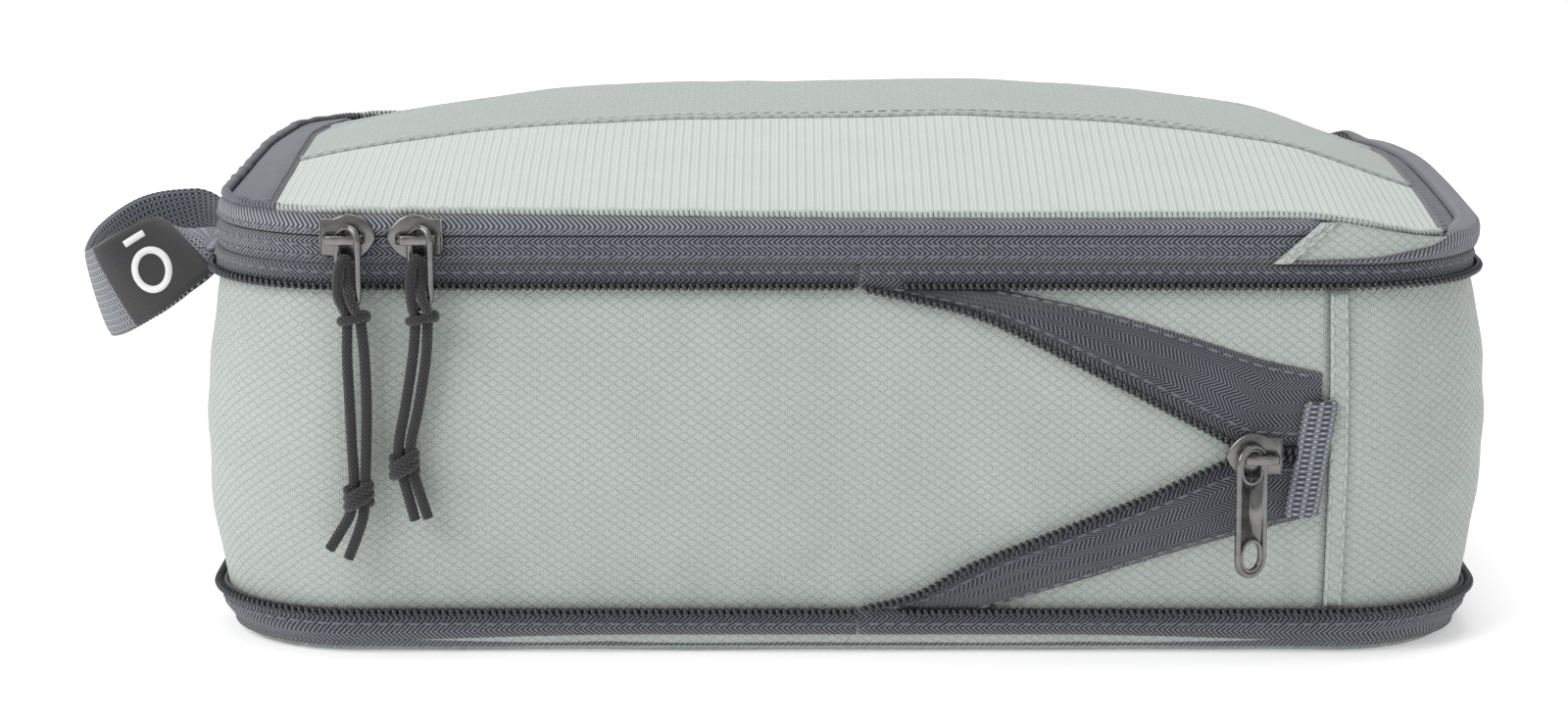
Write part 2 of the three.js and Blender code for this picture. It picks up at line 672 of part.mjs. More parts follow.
// Compression slider, its stamped puller and the tab it parks against.
const COMPRESSION_SLIDER_X = 80.4;
const COMPRESSION_LIFT = 2.5; // its plates stand either side of the coil, outside the tape
const closure = sliderGroup(COMPRESSION_SLIDER_X, CLOSURE_Z, WALL_BULGE, false);
addSlider("compression", closure, COMPRESSION_INNER_PLATE, COMPRESSION_LIFT);
addPull("compression_puller", stampedPuller(), closure, -0.9, -1, COMPRESSION_LIFT);
const tab = add("parking_tab", parkingTab(), slate);
tab.position.set(0, -HALF_WIDTH - WALL_BULGE, TAB.bottom);
tab.scale.y = -1;

// Grab loop and its label.
add("grab_loop", grabLoop(), slate);
add("size_label", sizeLabel(), label);

export default cube;
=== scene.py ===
# %% [markdown]
# # A compression packing cube
# This is a soft zipped case for clothes. It has sage ripstop walls, a domed lid with two mesh
# panels, and a second zip round its walls that pulls the lid down onto the floor.
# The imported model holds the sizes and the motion. Every piece here is built where that model
# says, and then rides on one of its bodies.
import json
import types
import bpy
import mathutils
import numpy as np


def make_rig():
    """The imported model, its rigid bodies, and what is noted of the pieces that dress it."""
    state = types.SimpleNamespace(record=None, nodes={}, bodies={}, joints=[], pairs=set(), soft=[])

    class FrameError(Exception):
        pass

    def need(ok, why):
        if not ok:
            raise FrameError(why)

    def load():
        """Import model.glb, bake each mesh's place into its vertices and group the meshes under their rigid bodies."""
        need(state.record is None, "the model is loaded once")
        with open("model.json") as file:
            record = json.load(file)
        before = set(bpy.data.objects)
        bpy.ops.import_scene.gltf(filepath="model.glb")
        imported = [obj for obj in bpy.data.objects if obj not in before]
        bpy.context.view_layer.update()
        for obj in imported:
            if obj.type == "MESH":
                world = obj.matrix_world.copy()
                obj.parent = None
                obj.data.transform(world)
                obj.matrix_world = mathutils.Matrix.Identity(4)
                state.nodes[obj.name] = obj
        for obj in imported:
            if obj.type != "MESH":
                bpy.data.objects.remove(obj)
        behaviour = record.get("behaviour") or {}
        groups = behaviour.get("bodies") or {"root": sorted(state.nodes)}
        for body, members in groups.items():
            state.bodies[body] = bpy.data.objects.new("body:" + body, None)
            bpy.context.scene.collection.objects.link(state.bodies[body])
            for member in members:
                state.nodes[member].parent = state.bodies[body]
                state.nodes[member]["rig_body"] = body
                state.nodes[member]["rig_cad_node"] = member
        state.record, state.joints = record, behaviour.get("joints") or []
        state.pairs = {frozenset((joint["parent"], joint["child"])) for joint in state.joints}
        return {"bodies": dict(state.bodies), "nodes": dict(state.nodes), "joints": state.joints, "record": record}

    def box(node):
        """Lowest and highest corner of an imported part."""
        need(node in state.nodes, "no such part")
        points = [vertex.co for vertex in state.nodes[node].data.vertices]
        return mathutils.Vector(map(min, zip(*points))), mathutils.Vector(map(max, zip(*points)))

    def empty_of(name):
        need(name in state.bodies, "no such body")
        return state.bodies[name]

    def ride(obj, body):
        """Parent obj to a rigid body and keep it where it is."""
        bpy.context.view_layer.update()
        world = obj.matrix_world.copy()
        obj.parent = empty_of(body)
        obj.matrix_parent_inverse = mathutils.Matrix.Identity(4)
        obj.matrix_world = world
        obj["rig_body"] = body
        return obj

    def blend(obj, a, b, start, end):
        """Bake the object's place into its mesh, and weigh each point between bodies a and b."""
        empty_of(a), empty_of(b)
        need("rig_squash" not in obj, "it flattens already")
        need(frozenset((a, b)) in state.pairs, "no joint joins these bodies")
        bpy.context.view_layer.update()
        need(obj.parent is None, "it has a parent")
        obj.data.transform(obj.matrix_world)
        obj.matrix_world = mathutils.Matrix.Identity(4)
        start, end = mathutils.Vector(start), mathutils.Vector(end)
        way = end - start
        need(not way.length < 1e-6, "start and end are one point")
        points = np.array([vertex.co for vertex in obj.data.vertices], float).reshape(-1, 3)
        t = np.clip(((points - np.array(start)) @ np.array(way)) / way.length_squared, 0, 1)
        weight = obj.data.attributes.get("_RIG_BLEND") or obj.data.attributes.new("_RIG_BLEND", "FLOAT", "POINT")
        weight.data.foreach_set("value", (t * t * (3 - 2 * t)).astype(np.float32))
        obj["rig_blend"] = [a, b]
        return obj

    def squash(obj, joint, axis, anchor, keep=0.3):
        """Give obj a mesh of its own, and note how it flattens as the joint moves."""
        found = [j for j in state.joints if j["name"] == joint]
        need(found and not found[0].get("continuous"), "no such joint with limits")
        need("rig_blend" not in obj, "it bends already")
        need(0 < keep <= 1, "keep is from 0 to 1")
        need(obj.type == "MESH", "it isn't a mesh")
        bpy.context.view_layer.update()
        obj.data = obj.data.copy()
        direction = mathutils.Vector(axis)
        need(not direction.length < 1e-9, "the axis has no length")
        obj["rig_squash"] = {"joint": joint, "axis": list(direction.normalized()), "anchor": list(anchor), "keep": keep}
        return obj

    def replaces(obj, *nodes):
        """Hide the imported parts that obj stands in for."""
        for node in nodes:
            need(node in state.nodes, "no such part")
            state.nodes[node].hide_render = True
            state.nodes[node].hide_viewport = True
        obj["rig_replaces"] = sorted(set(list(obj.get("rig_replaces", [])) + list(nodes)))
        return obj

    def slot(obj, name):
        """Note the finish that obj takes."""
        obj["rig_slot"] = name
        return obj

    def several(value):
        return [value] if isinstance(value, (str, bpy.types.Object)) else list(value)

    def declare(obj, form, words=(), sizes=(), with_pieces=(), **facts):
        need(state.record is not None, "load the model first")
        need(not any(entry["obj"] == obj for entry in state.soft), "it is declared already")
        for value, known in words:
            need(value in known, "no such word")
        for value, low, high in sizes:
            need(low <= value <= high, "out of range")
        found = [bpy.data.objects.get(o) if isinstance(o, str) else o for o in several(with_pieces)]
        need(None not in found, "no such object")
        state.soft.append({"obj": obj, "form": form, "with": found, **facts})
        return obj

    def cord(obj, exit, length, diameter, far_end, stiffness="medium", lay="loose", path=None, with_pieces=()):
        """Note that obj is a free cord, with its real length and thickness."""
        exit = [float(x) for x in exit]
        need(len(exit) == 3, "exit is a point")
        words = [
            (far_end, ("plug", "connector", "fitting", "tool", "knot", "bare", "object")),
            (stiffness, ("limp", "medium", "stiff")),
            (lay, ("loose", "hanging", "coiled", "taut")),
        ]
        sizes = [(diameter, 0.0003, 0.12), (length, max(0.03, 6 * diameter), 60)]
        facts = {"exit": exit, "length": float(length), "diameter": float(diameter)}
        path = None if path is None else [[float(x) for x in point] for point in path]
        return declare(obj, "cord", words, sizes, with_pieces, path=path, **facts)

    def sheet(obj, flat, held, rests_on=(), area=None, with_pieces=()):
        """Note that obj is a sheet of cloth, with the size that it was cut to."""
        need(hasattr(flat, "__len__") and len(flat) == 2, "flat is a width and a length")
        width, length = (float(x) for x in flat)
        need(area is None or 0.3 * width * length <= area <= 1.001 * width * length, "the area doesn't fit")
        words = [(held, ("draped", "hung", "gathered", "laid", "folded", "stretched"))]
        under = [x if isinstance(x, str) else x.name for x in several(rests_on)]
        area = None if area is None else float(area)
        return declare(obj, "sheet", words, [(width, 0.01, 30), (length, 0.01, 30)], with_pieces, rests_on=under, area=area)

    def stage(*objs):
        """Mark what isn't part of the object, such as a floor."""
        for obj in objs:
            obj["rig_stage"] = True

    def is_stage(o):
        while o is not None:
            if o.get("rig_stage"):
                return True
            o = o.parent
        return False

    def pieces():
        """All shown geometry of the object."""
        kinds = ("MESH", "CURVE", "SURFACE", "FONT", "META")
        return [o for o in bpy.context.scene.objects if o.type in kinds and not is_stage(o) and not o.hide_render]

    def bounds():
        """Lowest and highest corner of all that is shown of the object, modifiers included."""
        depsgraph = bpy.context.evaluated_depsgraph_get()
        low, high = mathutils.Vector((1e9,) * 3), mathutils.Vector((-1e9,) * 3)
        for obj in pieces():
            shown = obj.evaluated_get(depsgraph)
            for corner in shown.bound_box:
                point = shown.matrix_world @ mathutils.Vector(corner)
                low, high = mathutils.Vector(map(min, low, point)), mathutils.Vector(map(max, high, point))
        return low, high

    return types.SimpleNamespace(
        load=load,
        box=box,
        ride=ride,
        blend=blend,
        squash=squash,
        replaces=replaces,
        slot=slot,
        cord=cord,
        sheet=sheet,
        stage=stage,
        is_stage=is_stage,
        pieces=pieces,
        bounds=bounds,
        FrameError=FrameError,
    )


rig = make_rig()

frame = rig.load()
import json
import math

import bmesh
import bpy
import numpy as np
from mathutils import Vector, noise

cad_box = [list(corner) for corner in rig.bounds()]
print("box of the packed model", cad_box)

# %% [markdown]
# ## Camera, light and floor
# The case stands on a pale sweep of floor and is seen from a little above its front. A long
# lens from about a metre keeps its upright edges almost parallel. Three large soft lamps and
# a bright world give the even light of a studio tent, so the cloth's own shading shows.

# %% Camera
MM = 0.001
CAMERA_RISE = math.radians(10.5)
CAMERA_DISTANCE = 0.95
camera = bpy.data.objects.new("camera", bpy.data.cameras.new("camera"))
bpy.context.scene.collection.objects.link(camera)
camera.data.lens = 99.4
camera.data.clip_start = 0.01
aim = Vector((-12.4 * MM, 0, 42.8 * MM))
towards_camera = Vector((0, -math.cos(CAMERA_RISE), math.sin(CAMERA_RISE)))
camera.location = aim + CAMERA_DISTANCE * towards_camera
camera.rotation_euler = towards_camera.to_track_quat("Z", "Y").to_euler()
bpy.context.scene.camera = camera
bpy.context.scene.view_settings.view_transform = "Standard"
print("camera at", tuple(round(c, 3) for c in camera.location))

# %% Lamps and world


def lamp(name, place, size, power):
    """A square soft lamp that faces the case."""
    light = bpy.data.objects.new(name, bpy.data.lights.new(name, "AREA"))
    light.data.shape = "SQUARE"
    light.data.size = size
    light.data.energy = power
    light.location = place
    light.rotation_euler = (Vector(place) - aim).to_track_quat("Z", "Y").to_euler()
    bpy.context.scene.collection.objects.link(light)


lamp("key_lamp", (-0.85, -0.75, 0.9), 0.8, 10.5)
lamp("fill_lamp", (1.0, -0.7, 0.6), 0.8, 0.3)
lamp("top_lamp", (0.1, 0.5, 1.3), 1.0, 8)
world = bpy.data.worlds.new("studio")
world.use_nodes = True
world.node_tree.nodes["Background"].inputs["Color"].default_value = (1, 1, 1, 1)
world.node_tree.nodes["Background"].inputs["Strength"].default_value = 0.62
bpy.context.scene.world = world

# %% [markdown]
# ## A recipe for finishes
# Every finish is a small net of nodes that ends in the Principled shader. Cloth needs its
# weave in the right place and at the right scale, so each piece carries a map whose two
# directions are measured in metres along the cloth. The recipe below reads that map, mixes
# colours with plain sums, and turns a height into bump.

# %% The recipe


class Recipe:
    """The nodes of one finish. Heights and colours are made from the cloth map, in metres."""

    def __init__(self, name, **sockets):
        self.material = bpy.data.materials.new(name)
        self.material.use_nodes = True
        self.nodes = self.material.node_tree.nodes
        self.links = self.material.node_tree.links
        self.shader = self.nodes["Principled BSDF"]
        for socket, value in sockets.items():
            self.shader.inputs[socket.replace("_", " ")].default_value = value
        place = self.nodes.new("ShaderNodeUVMap")
        place.uv_map = "cloth"
        split = self.nodes.new("ShaderNodeSeparateXYZ")
        self.links.new(place.outputs["UV"], split.inputs[0])
        self.u, self.v = split.outputs[0], split.outputs[1]
        self.room = self.nodes.new("ShaderNodeTexCoord").outputs["Object"]

    def feed(self, node, index, value):
        """A socket takes either another node's output or a plain value."""
        if isinstance(value, bpy.types.NodeSocket):
            self.links.new(value, node.inputs[index])
        else:
            node.inputs[index].default_value = value

    def sum(self, operation, a, b=0.0, c=0.0):
        node = self.nodes.new("ShaderNodeMath")
        node.operation = operation
        for index, value in enumerate((a, b, c)):
            self.feed(node, index, value)
        return node.outputs[0]

    def scaled(self, value, low, high, to_low=0.0, to_high=1.0):
        node = self.nodes.new("ShaderNodeMapRange")
        for index, number in enumerate((value, low, high, to_low, to_high)):
            self.feed(node, index, number)
        return node.outputs[0]

    def ripple(self, value, pitch, shift=0.0):
        """A wave from 0 to 1 along value."""
        turn = self.sum("MULTIPLY_ADD", value, 2 * math.pi / pitch, shift)
        return self.sum("MULTIPLY_ADD", self.sum("SINE", turn), 0.5, 0.5)

    def cloud(self, size, detail=2.0):
        """Soft unevenness from 0 to 1, in blotches of about size."""
        node = self.nodes.new("ShaderNodeTexNoise")
        self.links.new(self.room, node.inputs["Vector"])
        node.inputs["Scale"].default_value = 1 / size
        node.inputs["Detail"].default_value = detail
        return node.outputs["Fac"]

    def blend(self, share, a, b):
        node = self.nodes.new("ShaderNodeMix")
        node.data_type = "RGBA"
        self.feed(node, 0, share)
        self.feed(node, 6, a)
        self.feed(node, 7, b)
        return node.outputs[2]

    def finish(self, colour, height=None, depth=0.0001, roughness=None):
        self.feed(self.shader, "Base Color", colour)
        if roughness is not None:
            self.feed(self.shader, "Roughness", roughness)
        if height is not None:
            bump = self.nodes.new("ShaderNodeBump")
            bump.inputs["Distance"].default_value = depth
            bump.inputs["Strength"].default_value = 1.0
            self.links.new(height, bump.inputs["Height"])
            self.links.new(bump.outputs[0], self.shader.inputs["Normal"])
        return self.material


def shade(r, g, b):
    """A colour given as it looks, from 0 to 255, for a shader that adds up light."""
    return tuple(((c / 255 + 0.055) / 1.055) ** 2.4 for c in (r, g, b)) + (1.0,)


# %% [markdown]
# The floor is a wide plain sheet, marked as stage so that it isn't part of the case. It has
# a faint mottle, so that it reads as paper and not as nothing.

# %% Floor
floor = bpy.data.objects.new("studio_floor", bpy.data.meshes.new("studio_floor"))
floor_edge = 6
corners = [(-floor_edge, -floor_edge), (floor_edge, -floor_edge), (floor_edge, floor_edge)]
corners.append((-floor_edge, floor_edge))
floor.data.from_pydata([(x, y, 0) for x, y in corners], [], [(0, 1, 2, 3)])
bpy.context.scene.collection.objects.link(floor)
paper = Recipe("floor_paper", Roughness=0.9, Emission_Color=(1, 1, 1, 1), Emission_Strength=0.3)
paper_white = paper.blend(paper.cloud(0.3), shade(246, 246, 246), shade(250, 250, 250))
floor.data.materials.append(paper.finish(paper_white))
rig.stage(floor)

# %% [markdown]
# ## Cloth as meshes
# Two shapes make nearly everything: a section carried along a line, for tapes, webbing and
# cords, and a sheet with thickness, for the walls and the lid. Both are closed, because the
# finished meshes are kept as solids, and both write the cloth map as they go.

# %% Mesh helpers


def solid(name, points, faces, cloth, material):
    """A closed mesh. cloth holds one (u, v) in metres for each corner of each face."""
    mesh = bpy.data.meshes.new(name)
    mesh.from_pydata([tuple(p) for p in points], [], faces)
    layer = mesh.uv_layers.new(name="cloth")
    layer.data.foreach_set("uv", np.asarray(cloth, np.float32).ravel())
    shape = bmesh.new()
    shape.from_mesh(mesh)
    bmesh.ops.recalc_face_normals(shape, faces=shape.faces)
    shape.to_mesh(mesh)
    shape.free()
    mesh.shade_smooth()
    mesh.materials.append(material)
    piece = bpy.data.objects.new(name, mesh)
    bpy.context.scene.collection.objects.link(piece)
    return piece


def lengths_along(points):
    steps = np.linalg.norm(np.diff(points, axis=0), axis=1)
    return np.concatenate([[0], np.cumsum(steps)])


def sweep(name, line, section, material, closed=False):
    """A section carried along a line of (origin, out, up). The section is a list of (out, up),
    or one such list for each point of the line."""
    origin, out, up = line
    section = np.asarray(section, float)
    if section.ndim == 2:
        section = np.broadcast_to(section, (len(origin), *section.shape))
    count, sides = section.shape[:2]
    points = (
        origin[:, None, :]
        + out[:, None, :] * section[..., 0, None]
        + up[:, None, :] * section[..., 1, None]
    )
    along = lengths_along(origin)
    ring = np.vstack([section[0], section[0][:1]])
    across = lengths_along(ring)
    faces, cloth = [], []
    for i in range(count if closed else count - 1):
        n = (i + 1) % count
        u0, u1 = along[i], along[i + 1] if i + 1 < count else along[i] + along[1]
        for j in range(sides):
            k = (j + 1) % sides
            faces.append((i * sides + j, n * sides + j, n * sides + k, i * sides + k))
            v0, v1 = across[j], across[j + 1]
            cloth += [(u0, v0), (u1, v0), (u1, v1), (u0, v1)]
    if not closed:
        last = (count - 1) * sides
        faces += [tuple(range(sides)), tuple(range(last, last + sides))]
        cloth += [(0, v) for v in across[:-1]] + [(along[-1], v) for v in across[:-1]]
    return solid(name, points.reshape(-1, 3), faces, cloth, material)


def sheet(name, outer, inner, cloth_map, material):
    """A sheet with thickness from two grids of points, (rows, columns, 3), and its map."""
    rows, columns = outer.shape[:2]
    layer = rows * columns
    faces, cloth = [], []

    def quad(a, b, c, d):
        faces.append((a, b, c, d))
        for corner in (a, b, c, d):
            cloth.append(cloth_map[(corner % layer) // columns, (corner % layer) % columns])

    for i in range(rows - 1):
        for j in range(columns - 1):
            a = i * columns + j
            quad(a, a + columns, a + columns + 1, a + 1)
            quad(layer + a, layer + a + 1, layer + a + columns + 1, layer + a + columns)
    border = list(range(columns))
    border += [i * columns + columns - 1 for i in range(1, rows)]
    border += [(rows - 1) * columns + j for j in range(columns - 2, -1, -1)]
    border += [i * columns for i in range(rows - 2, 0, -1)]
    for a, b in zip(border, border[1:] + border[:1]):
        quad(a, b, layer + b, layer + a)
    points = np.concatenate([outer.reshape(-1, 3), inner.reshape(-1, 3)])
    return solid(name, points, faces, cloth, material)


def tube(name, points, radius, sides, material, radial=None):
    """A round tube along points. radius is one number, or an array of (points, sides)."""
    points = np.asarray(points, float)
    tangent = np.gradient(points, axis=0)
    tangent /= np.linalg.norm(tangent, axis=1)[:, None]
    if radial is None:
        radial = np.zeros_like(points)
        side = np.cross(tangent[0], (0.31, 0.87, 0.38))
        for i, t in enumerate(tangent):
            side = side - t * side.dot(t)
            side /= np.linalg.norm(side)
            radial[i] = side
    over = np.cross(tangent, radial)
    turn = np.arange(sides) * 2 * math.pi / sides
    ring = np.stack([np.cos(turn), np.sin(turn)], axis=1)
    radius = np.broadcast_to(np.asarray(radius, float), (len(points), sides))
    section = ring[None] * radius[..., None]
    return sweep(name, (points, radial, over), section, material)


def joined(name, pieces):
    """Several meshes made into the first one."""
    shape = bmesh.new()
    for piece in pieces:
        shape.from_mesh(piece.data)
    shape.to_mesh(pieces[0].data)
    shape.free()
    for piece in pieces[1:]:
        bpy.data.meshes.remove(piece.data)
    pieces[0].data.shade_smooth()
    pieces[0].name = name
    return pieces[0]


def place(piece, body, slot, *nodes):
    """The piece rides on a body, takes a slot's finish and stands for some nodes."""
    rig.slot(piece, slot)
    if nodes:
        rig.replaces(piece, *nodes)
    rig.ride(piece, body)
    return piece


# %% [markdown]
# ## The two cord pulls
# Each main slider has a braided cord, hitched to its ring by the middle and knotted a little
# way down, so two strands hang side by side and end in two short tails. Each strand is a
# tube along its own line. The braid is real relief: the tube's radius follows two sets of
# plaits that wind opposite ways, which plain bump can't give at the outline.

# %% Braided cord finish
braid = Recipe("black_braid", Roughness=0.78, Sheen_Weight=0.25, Sheen_Roughness=0.5)
plait_a = braid.ripple(braid.sum("ADD", braid.u, braid.v), 0.9 * MM)
plait_b = braid.ripple(braid.sum("SUBTRACT", braid.u, braid.v), 0.9 * MM)
plaits = braid.sum("MULTIPLY", plait_a, plait_b)
braid_colour = braid.blend(plaits, shade(12, 12, 14), shade(58, 58, 62))
braid.finish(braid_colour, plaits, 0.00015)

# %% Cord strands
CORD_DIAMETER = 2.2 * MM
HALF_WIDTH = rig.box("rim_zip_tape")[1][1] - 0.3 * MM


def with_ends(points):
    """The points, and one more before and after them, straight on."""
    return np.vstack([2 * points[0] - points[1], points, 2 * points[-1] - points[-2]])


def between(a, b, c, d, t):
    """Where a smooth curve through four points is, at the share t from b to c."""
    return 0.5 * (
        2 * b + (c - a) * t + (2 * a - 5 * b + 4 * c - d) * t**2 + (3 * b - a - 3 * c + d) * t**3
    )


def smooth_line(points, step):
    """Points at an even step along a smooth curve through a few given points."""
    points = np.asarray(points, float)
    padded = with_ends(points)
    fine = []
    for a, b, c, d in zip(padded, padded[1:], padded[2:], padded[3:]):
        fine += [between(a, b, c, d, t) for t in np.linspace(0, 1, 24, endpoint=False)]
    fine = np.vstack([fine, points[-1:]])
    along = lengths_along(fine)
    even = np.linspace(0, along[-1], max(2, int(along[-1] / step)))
    return np.stack([np.interp(even, along, fine[:, axis]) for axis in range(3)], axis=1)


def before_wall(points):
    """[x, z, distance in front of the outline], in mm, as points in metres."""
    return [(x * MM, -HALF_WIDTH - proud * MM, z * MM) for x, z, proud in points]


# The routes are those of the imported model's cord solids, with the stretch inside each knot.
CORD_ROUTES = {
    "left": {
        "a": [
            (-98.1, 70.7, 6.6), (-98.3, 62, 6.8), (-97.9, 52, 7.2), (-97.6, 44, 7.6),
            (-97.3, 38.6, 7.8), (-97.5, 34.4, 7.8), (-98.2, 30.6, 7.8), (-100.3, 26.8, 7.6),
            (-102.4, 23.4, 7.4),
        ],
        "b": [
            (-95.7, 70.7, 6.6), (-94.9, 62, 6.8), (-94.6, 52, 7.2), (-94.8, 44, 7.6),
            (-95, 38.6, 7.8), (-95.2, 34.4, 7.8), (-95.6, 30.2, 7.8), (-97, 25.8, 7.6),
            (-98.7, 21.6, 7.4),
        ],
    },
    "right": {
        "a": [
            (-84.6, 70.7, 6.6), (-85.4, 62, 6.8), (-87, 52, 7.2), (-88.3, 45.2, 7.8),
            (-88.2, 40.8, 7.8), (-87.2, 36.6, 7.8), (-86.3, 33, 7.6), (-85.4, 29.4, 7.4),
        ],
        "b": [
            (-82.3, 70.7, 6.6), (-82.8, 62, 6.8), (-84.4, 52, 7.2), (-85.9, 45.2, 7.8),
            (-86, 40.8, 7.8), (-84.9, 36.8, 7.8), (-83.9, 33.4, 7.6), (-82.8, 29.8, 7.4),
        ],
    },
}


def braided_radius(points, sides, radius):
    """The radius at each corner of a tube, raised where a plait passes over."""
    along = lengths_along(points)[:, None]
    round_it = np.arange(sides)[None, :] * 2 * math.pi / sides
    turns = 2 * math.pi * along / (3.1 * MM)
    over = np.cos(4 * round_it + 2 * turns) * np.cos(4 * round_it - 2 * turns)
    return radius * (0.97 + 0.09 * over)


strands = {}
for side, routes in CORD_ROUTES.items():
    for strand, route in routes.items():
        line = smooth_line(before_wall(route), 0.25 * MM)
        radius = braided_radius(line, 24, CORD_DIAMETER / 2)
        name = f"{side}_cord_strand_{strand}"
        piece = tube(name, line, radius, 24, braid.material)
        nodes = [f"{side}_cord_run_{strand}", f"{side}_cord_tail_{strand}"]
        place(piece, f"{side}_cord", "black_cord", *nodes)
        strands[side, strand] = (piece, line)
        print(name, "is", round(lengths_along(line)[-1], 4), "m long")

# %% [markdown]
# Each knot is an overhand knot pulled tight, which from outside is three fat turns that
# lean over each other. They are short tubes wound round the two strands. The hitch at the
# top is a long bight that stands up inside the ring, with a collar below the ring's foot.

# %% Knots and hitches
KNOT_CENTRES = {"left": (-96.4, 34.4, 8), "right": (-87.3, 40.8, 8)}
RING_CENTRES = {"left": -98, "right": -83.8}


def winding(centre, radii, lean, turns, rise, count=110):
    """A line that winds round an upright axis, its plane leaning to one side."""
    t = np.linspace(0, 1, count)
    turn = 2 * math.pi * turns * t
    x = radii[0] * np.cos(turn)
    y = radii[1] * np.sin(turn)
    z = rise * (t - 0.5) + lean * np.cos(turn)
    return np.asarray(centre) + np.stack([x, y, z], axis=1)


for side in ("left", "right"):
    centre = before_wall([KNOT_CENTRES[side]])[0]
    turns = winding(centre, (2.05 * MM, 1.7 * MM), 0.9 * MM, 2.6, 4.3 * MM)
    radius = braided_radius(turns, 24, 1.12 * MM)
    knot = tube(f"{side}_cord_overhand_knot", turns, radius, 24, braid.material)
    place(knot, f"{side}_cord", "black_cord", f"{side}_cord_knot")

    (a, top, _), (b, _, _) = CORD_ROUTES[side]["a"][0], CORD_ROUTES[side]["b"][0]
    ring = RING_CENTRES[side]
    bight = before_wall(
        [
            (a, top - 0.8, 6.7), (a - 0.6, 71.8, 7.8), (ring - 1.7, 74, 7.9),
            (ring - 1.9, 77, 7.4), (ring - 1.5, 80, 7), (ring - 0.6, 81.5, 6.5),
            (ring + 0.2, 80, 6), (ring + 0.3, 77, 6.3), (ring + 0.45, 74.2, 8),
            (ring + 1.4, 72, 8.6), (b, top - 0.8, 6.7),
        ]
    )
    bight = smooth_line(bight, 0.3 * MM)
    collar = before_wall([((a + b) / 2, 69.7, 6.9)])[0]
    collar = winding(collar, (2.5 * MM, 1.5 * MM), 0.5 * MM, 1.15, 0.5 * MM, 70)
    turns = [
        tube(f"{side}_{part}", line, braided_radius(line, 24, radius), 24, braid.material)
        for part, line, radius in (("bight", bight, 1.05 * MM), ("collar", collar, 0.95 * MM))
    ]
    place(joined(f"{side}_cord_hitch", turns), f"{side}_pull", "black_cord")

    for strand, pieces in (("a", [knot]), ("b", [])):
        piece, line = strands[side, strand]
        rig.cord(
            piece,
            exit=tuple(line[0]),
            length=round(float(lengths_along(line)[-1]), 4),
            diameter=CORD_DIAMETER,
            far_end="knot" if pieces else "bare",
            stiffness="limp",
            lay="hanging",
            path=[tuple(p) for p in line[::4]] + [tuple(line[-1])],
            with_pieces=pieces,
        )
print("cords, knots and hitches are hung")

# %% [markdown]
# ## Fabric finishes
# The ripstop is a thin coated weave with a diamond net of stronger threads. The net is two
# sets of slanting lines, and the plain weave between them is a fine crossed ripple.
# The mesh is knitted in upright ribs with small holes between them. The tapes are woven in
# herringbone, and the webbing in fat bars with pale flecks.

# %% Ripstop


def ripstop_finish(name, pale, dark, net):
    cloth = Recipe(name, Roughness=0.62, Sheen_Weight=0.3, Sheen_Roughness=0.45)
    across = cloth.sum("MULTIPLY", cloth.u, 1 / (2.8 * MM))
    upward = cloth.sum("MULTIPLY", cloth.v, 1 / (1.9 * MM))
    lines = []
    for operation in ("ADD", "SUBTRACT"):
        step = cloth.sum("FRACT", cloth.sum(operation, across, upward))
        middle = cloth.sum("ABSOLUTE", cloth.sum("SUBTRACT", step, 0.5))
        lines.append(cloth.scaled(middle, 0.4, 0.49))
    netting = cloth.sum("MAXIMUM", *lines)
    weave = cloth.sum(
        "MULTIPLY", cloth.ripple(cloth.u, 0.42 * MM), cloth.ripple(cloth.v, 0.36 * MM)
    )
    blotch = cloth.cloud(18 * MM, 3)
    base = cloth.blend(blotch, dark, pale)
    base = cloth.blend(cloth.sum("MULTIPLY", weave, 0.18), base, shade(228, 233, 229))
    base = cloth.blend(cloth.sum("MULTIPLY", netting, 0.55), base, net)
    height = cloth.sum("MULTIPLY_ADD", weave, 0.35, netting)
    roughness = cloth.scaled(netting, 0, 1, 0.58, 0.7)
    return cloth.finish(base, height, 0.0002, roughness)


ripstop = ripstop_finish(
    "sage_ripstop", shade(171, 178, 173), shade(160, 167, 162), shade(196, 202, 197)
)
band_cloth = ripstop_finish(
    "sage_band", shade(168, 176, 171), shade(160, 168, 163), shade(176, 183, 178)
)

# %% Knitted mesh
knit = Recipe("pale_knit_mesh", Roughness=0.9, Sheen_Weight=0.2)
ribs = knit.scaled(knit.ripple(knit.u, 1.8 * MM), 0.55, 1)
fine_ribs = knit.ripple(knit.u, 0.9 * MM)
rows = knit.ripple(knit.v, 0.95 * MM)
hole = knit.scaled(knit.sum("MULTIPLY", fine_ribs, rows), 0.45, 0.85)
plait = knit.sum("MULTIPLY", ribs, knit.ripple(knit.v, 0.95 * MM, math.pi))
knit_base = knit.blend(knit.cloud(9 * MM), shade(184, 191, 186), shade(193, 200, 195))
knit_base = knit.blend(knit.sum("MULTIPLY", hole, 0.5), knit_base, shade(140, 148, 143))
knit_base = knit.blend(knit.sum("MULTIPLY", ribs, 0.55), knit_base, shade(212, 218, 214))
knit_height = knit.sum("SUBTRACT", knit.sum("MULTIPLY_ADD", plait, 0.5, ribs), hole)
knit.finish(knit_base, knit_height, 0.00014)

# %% Herringbone tape


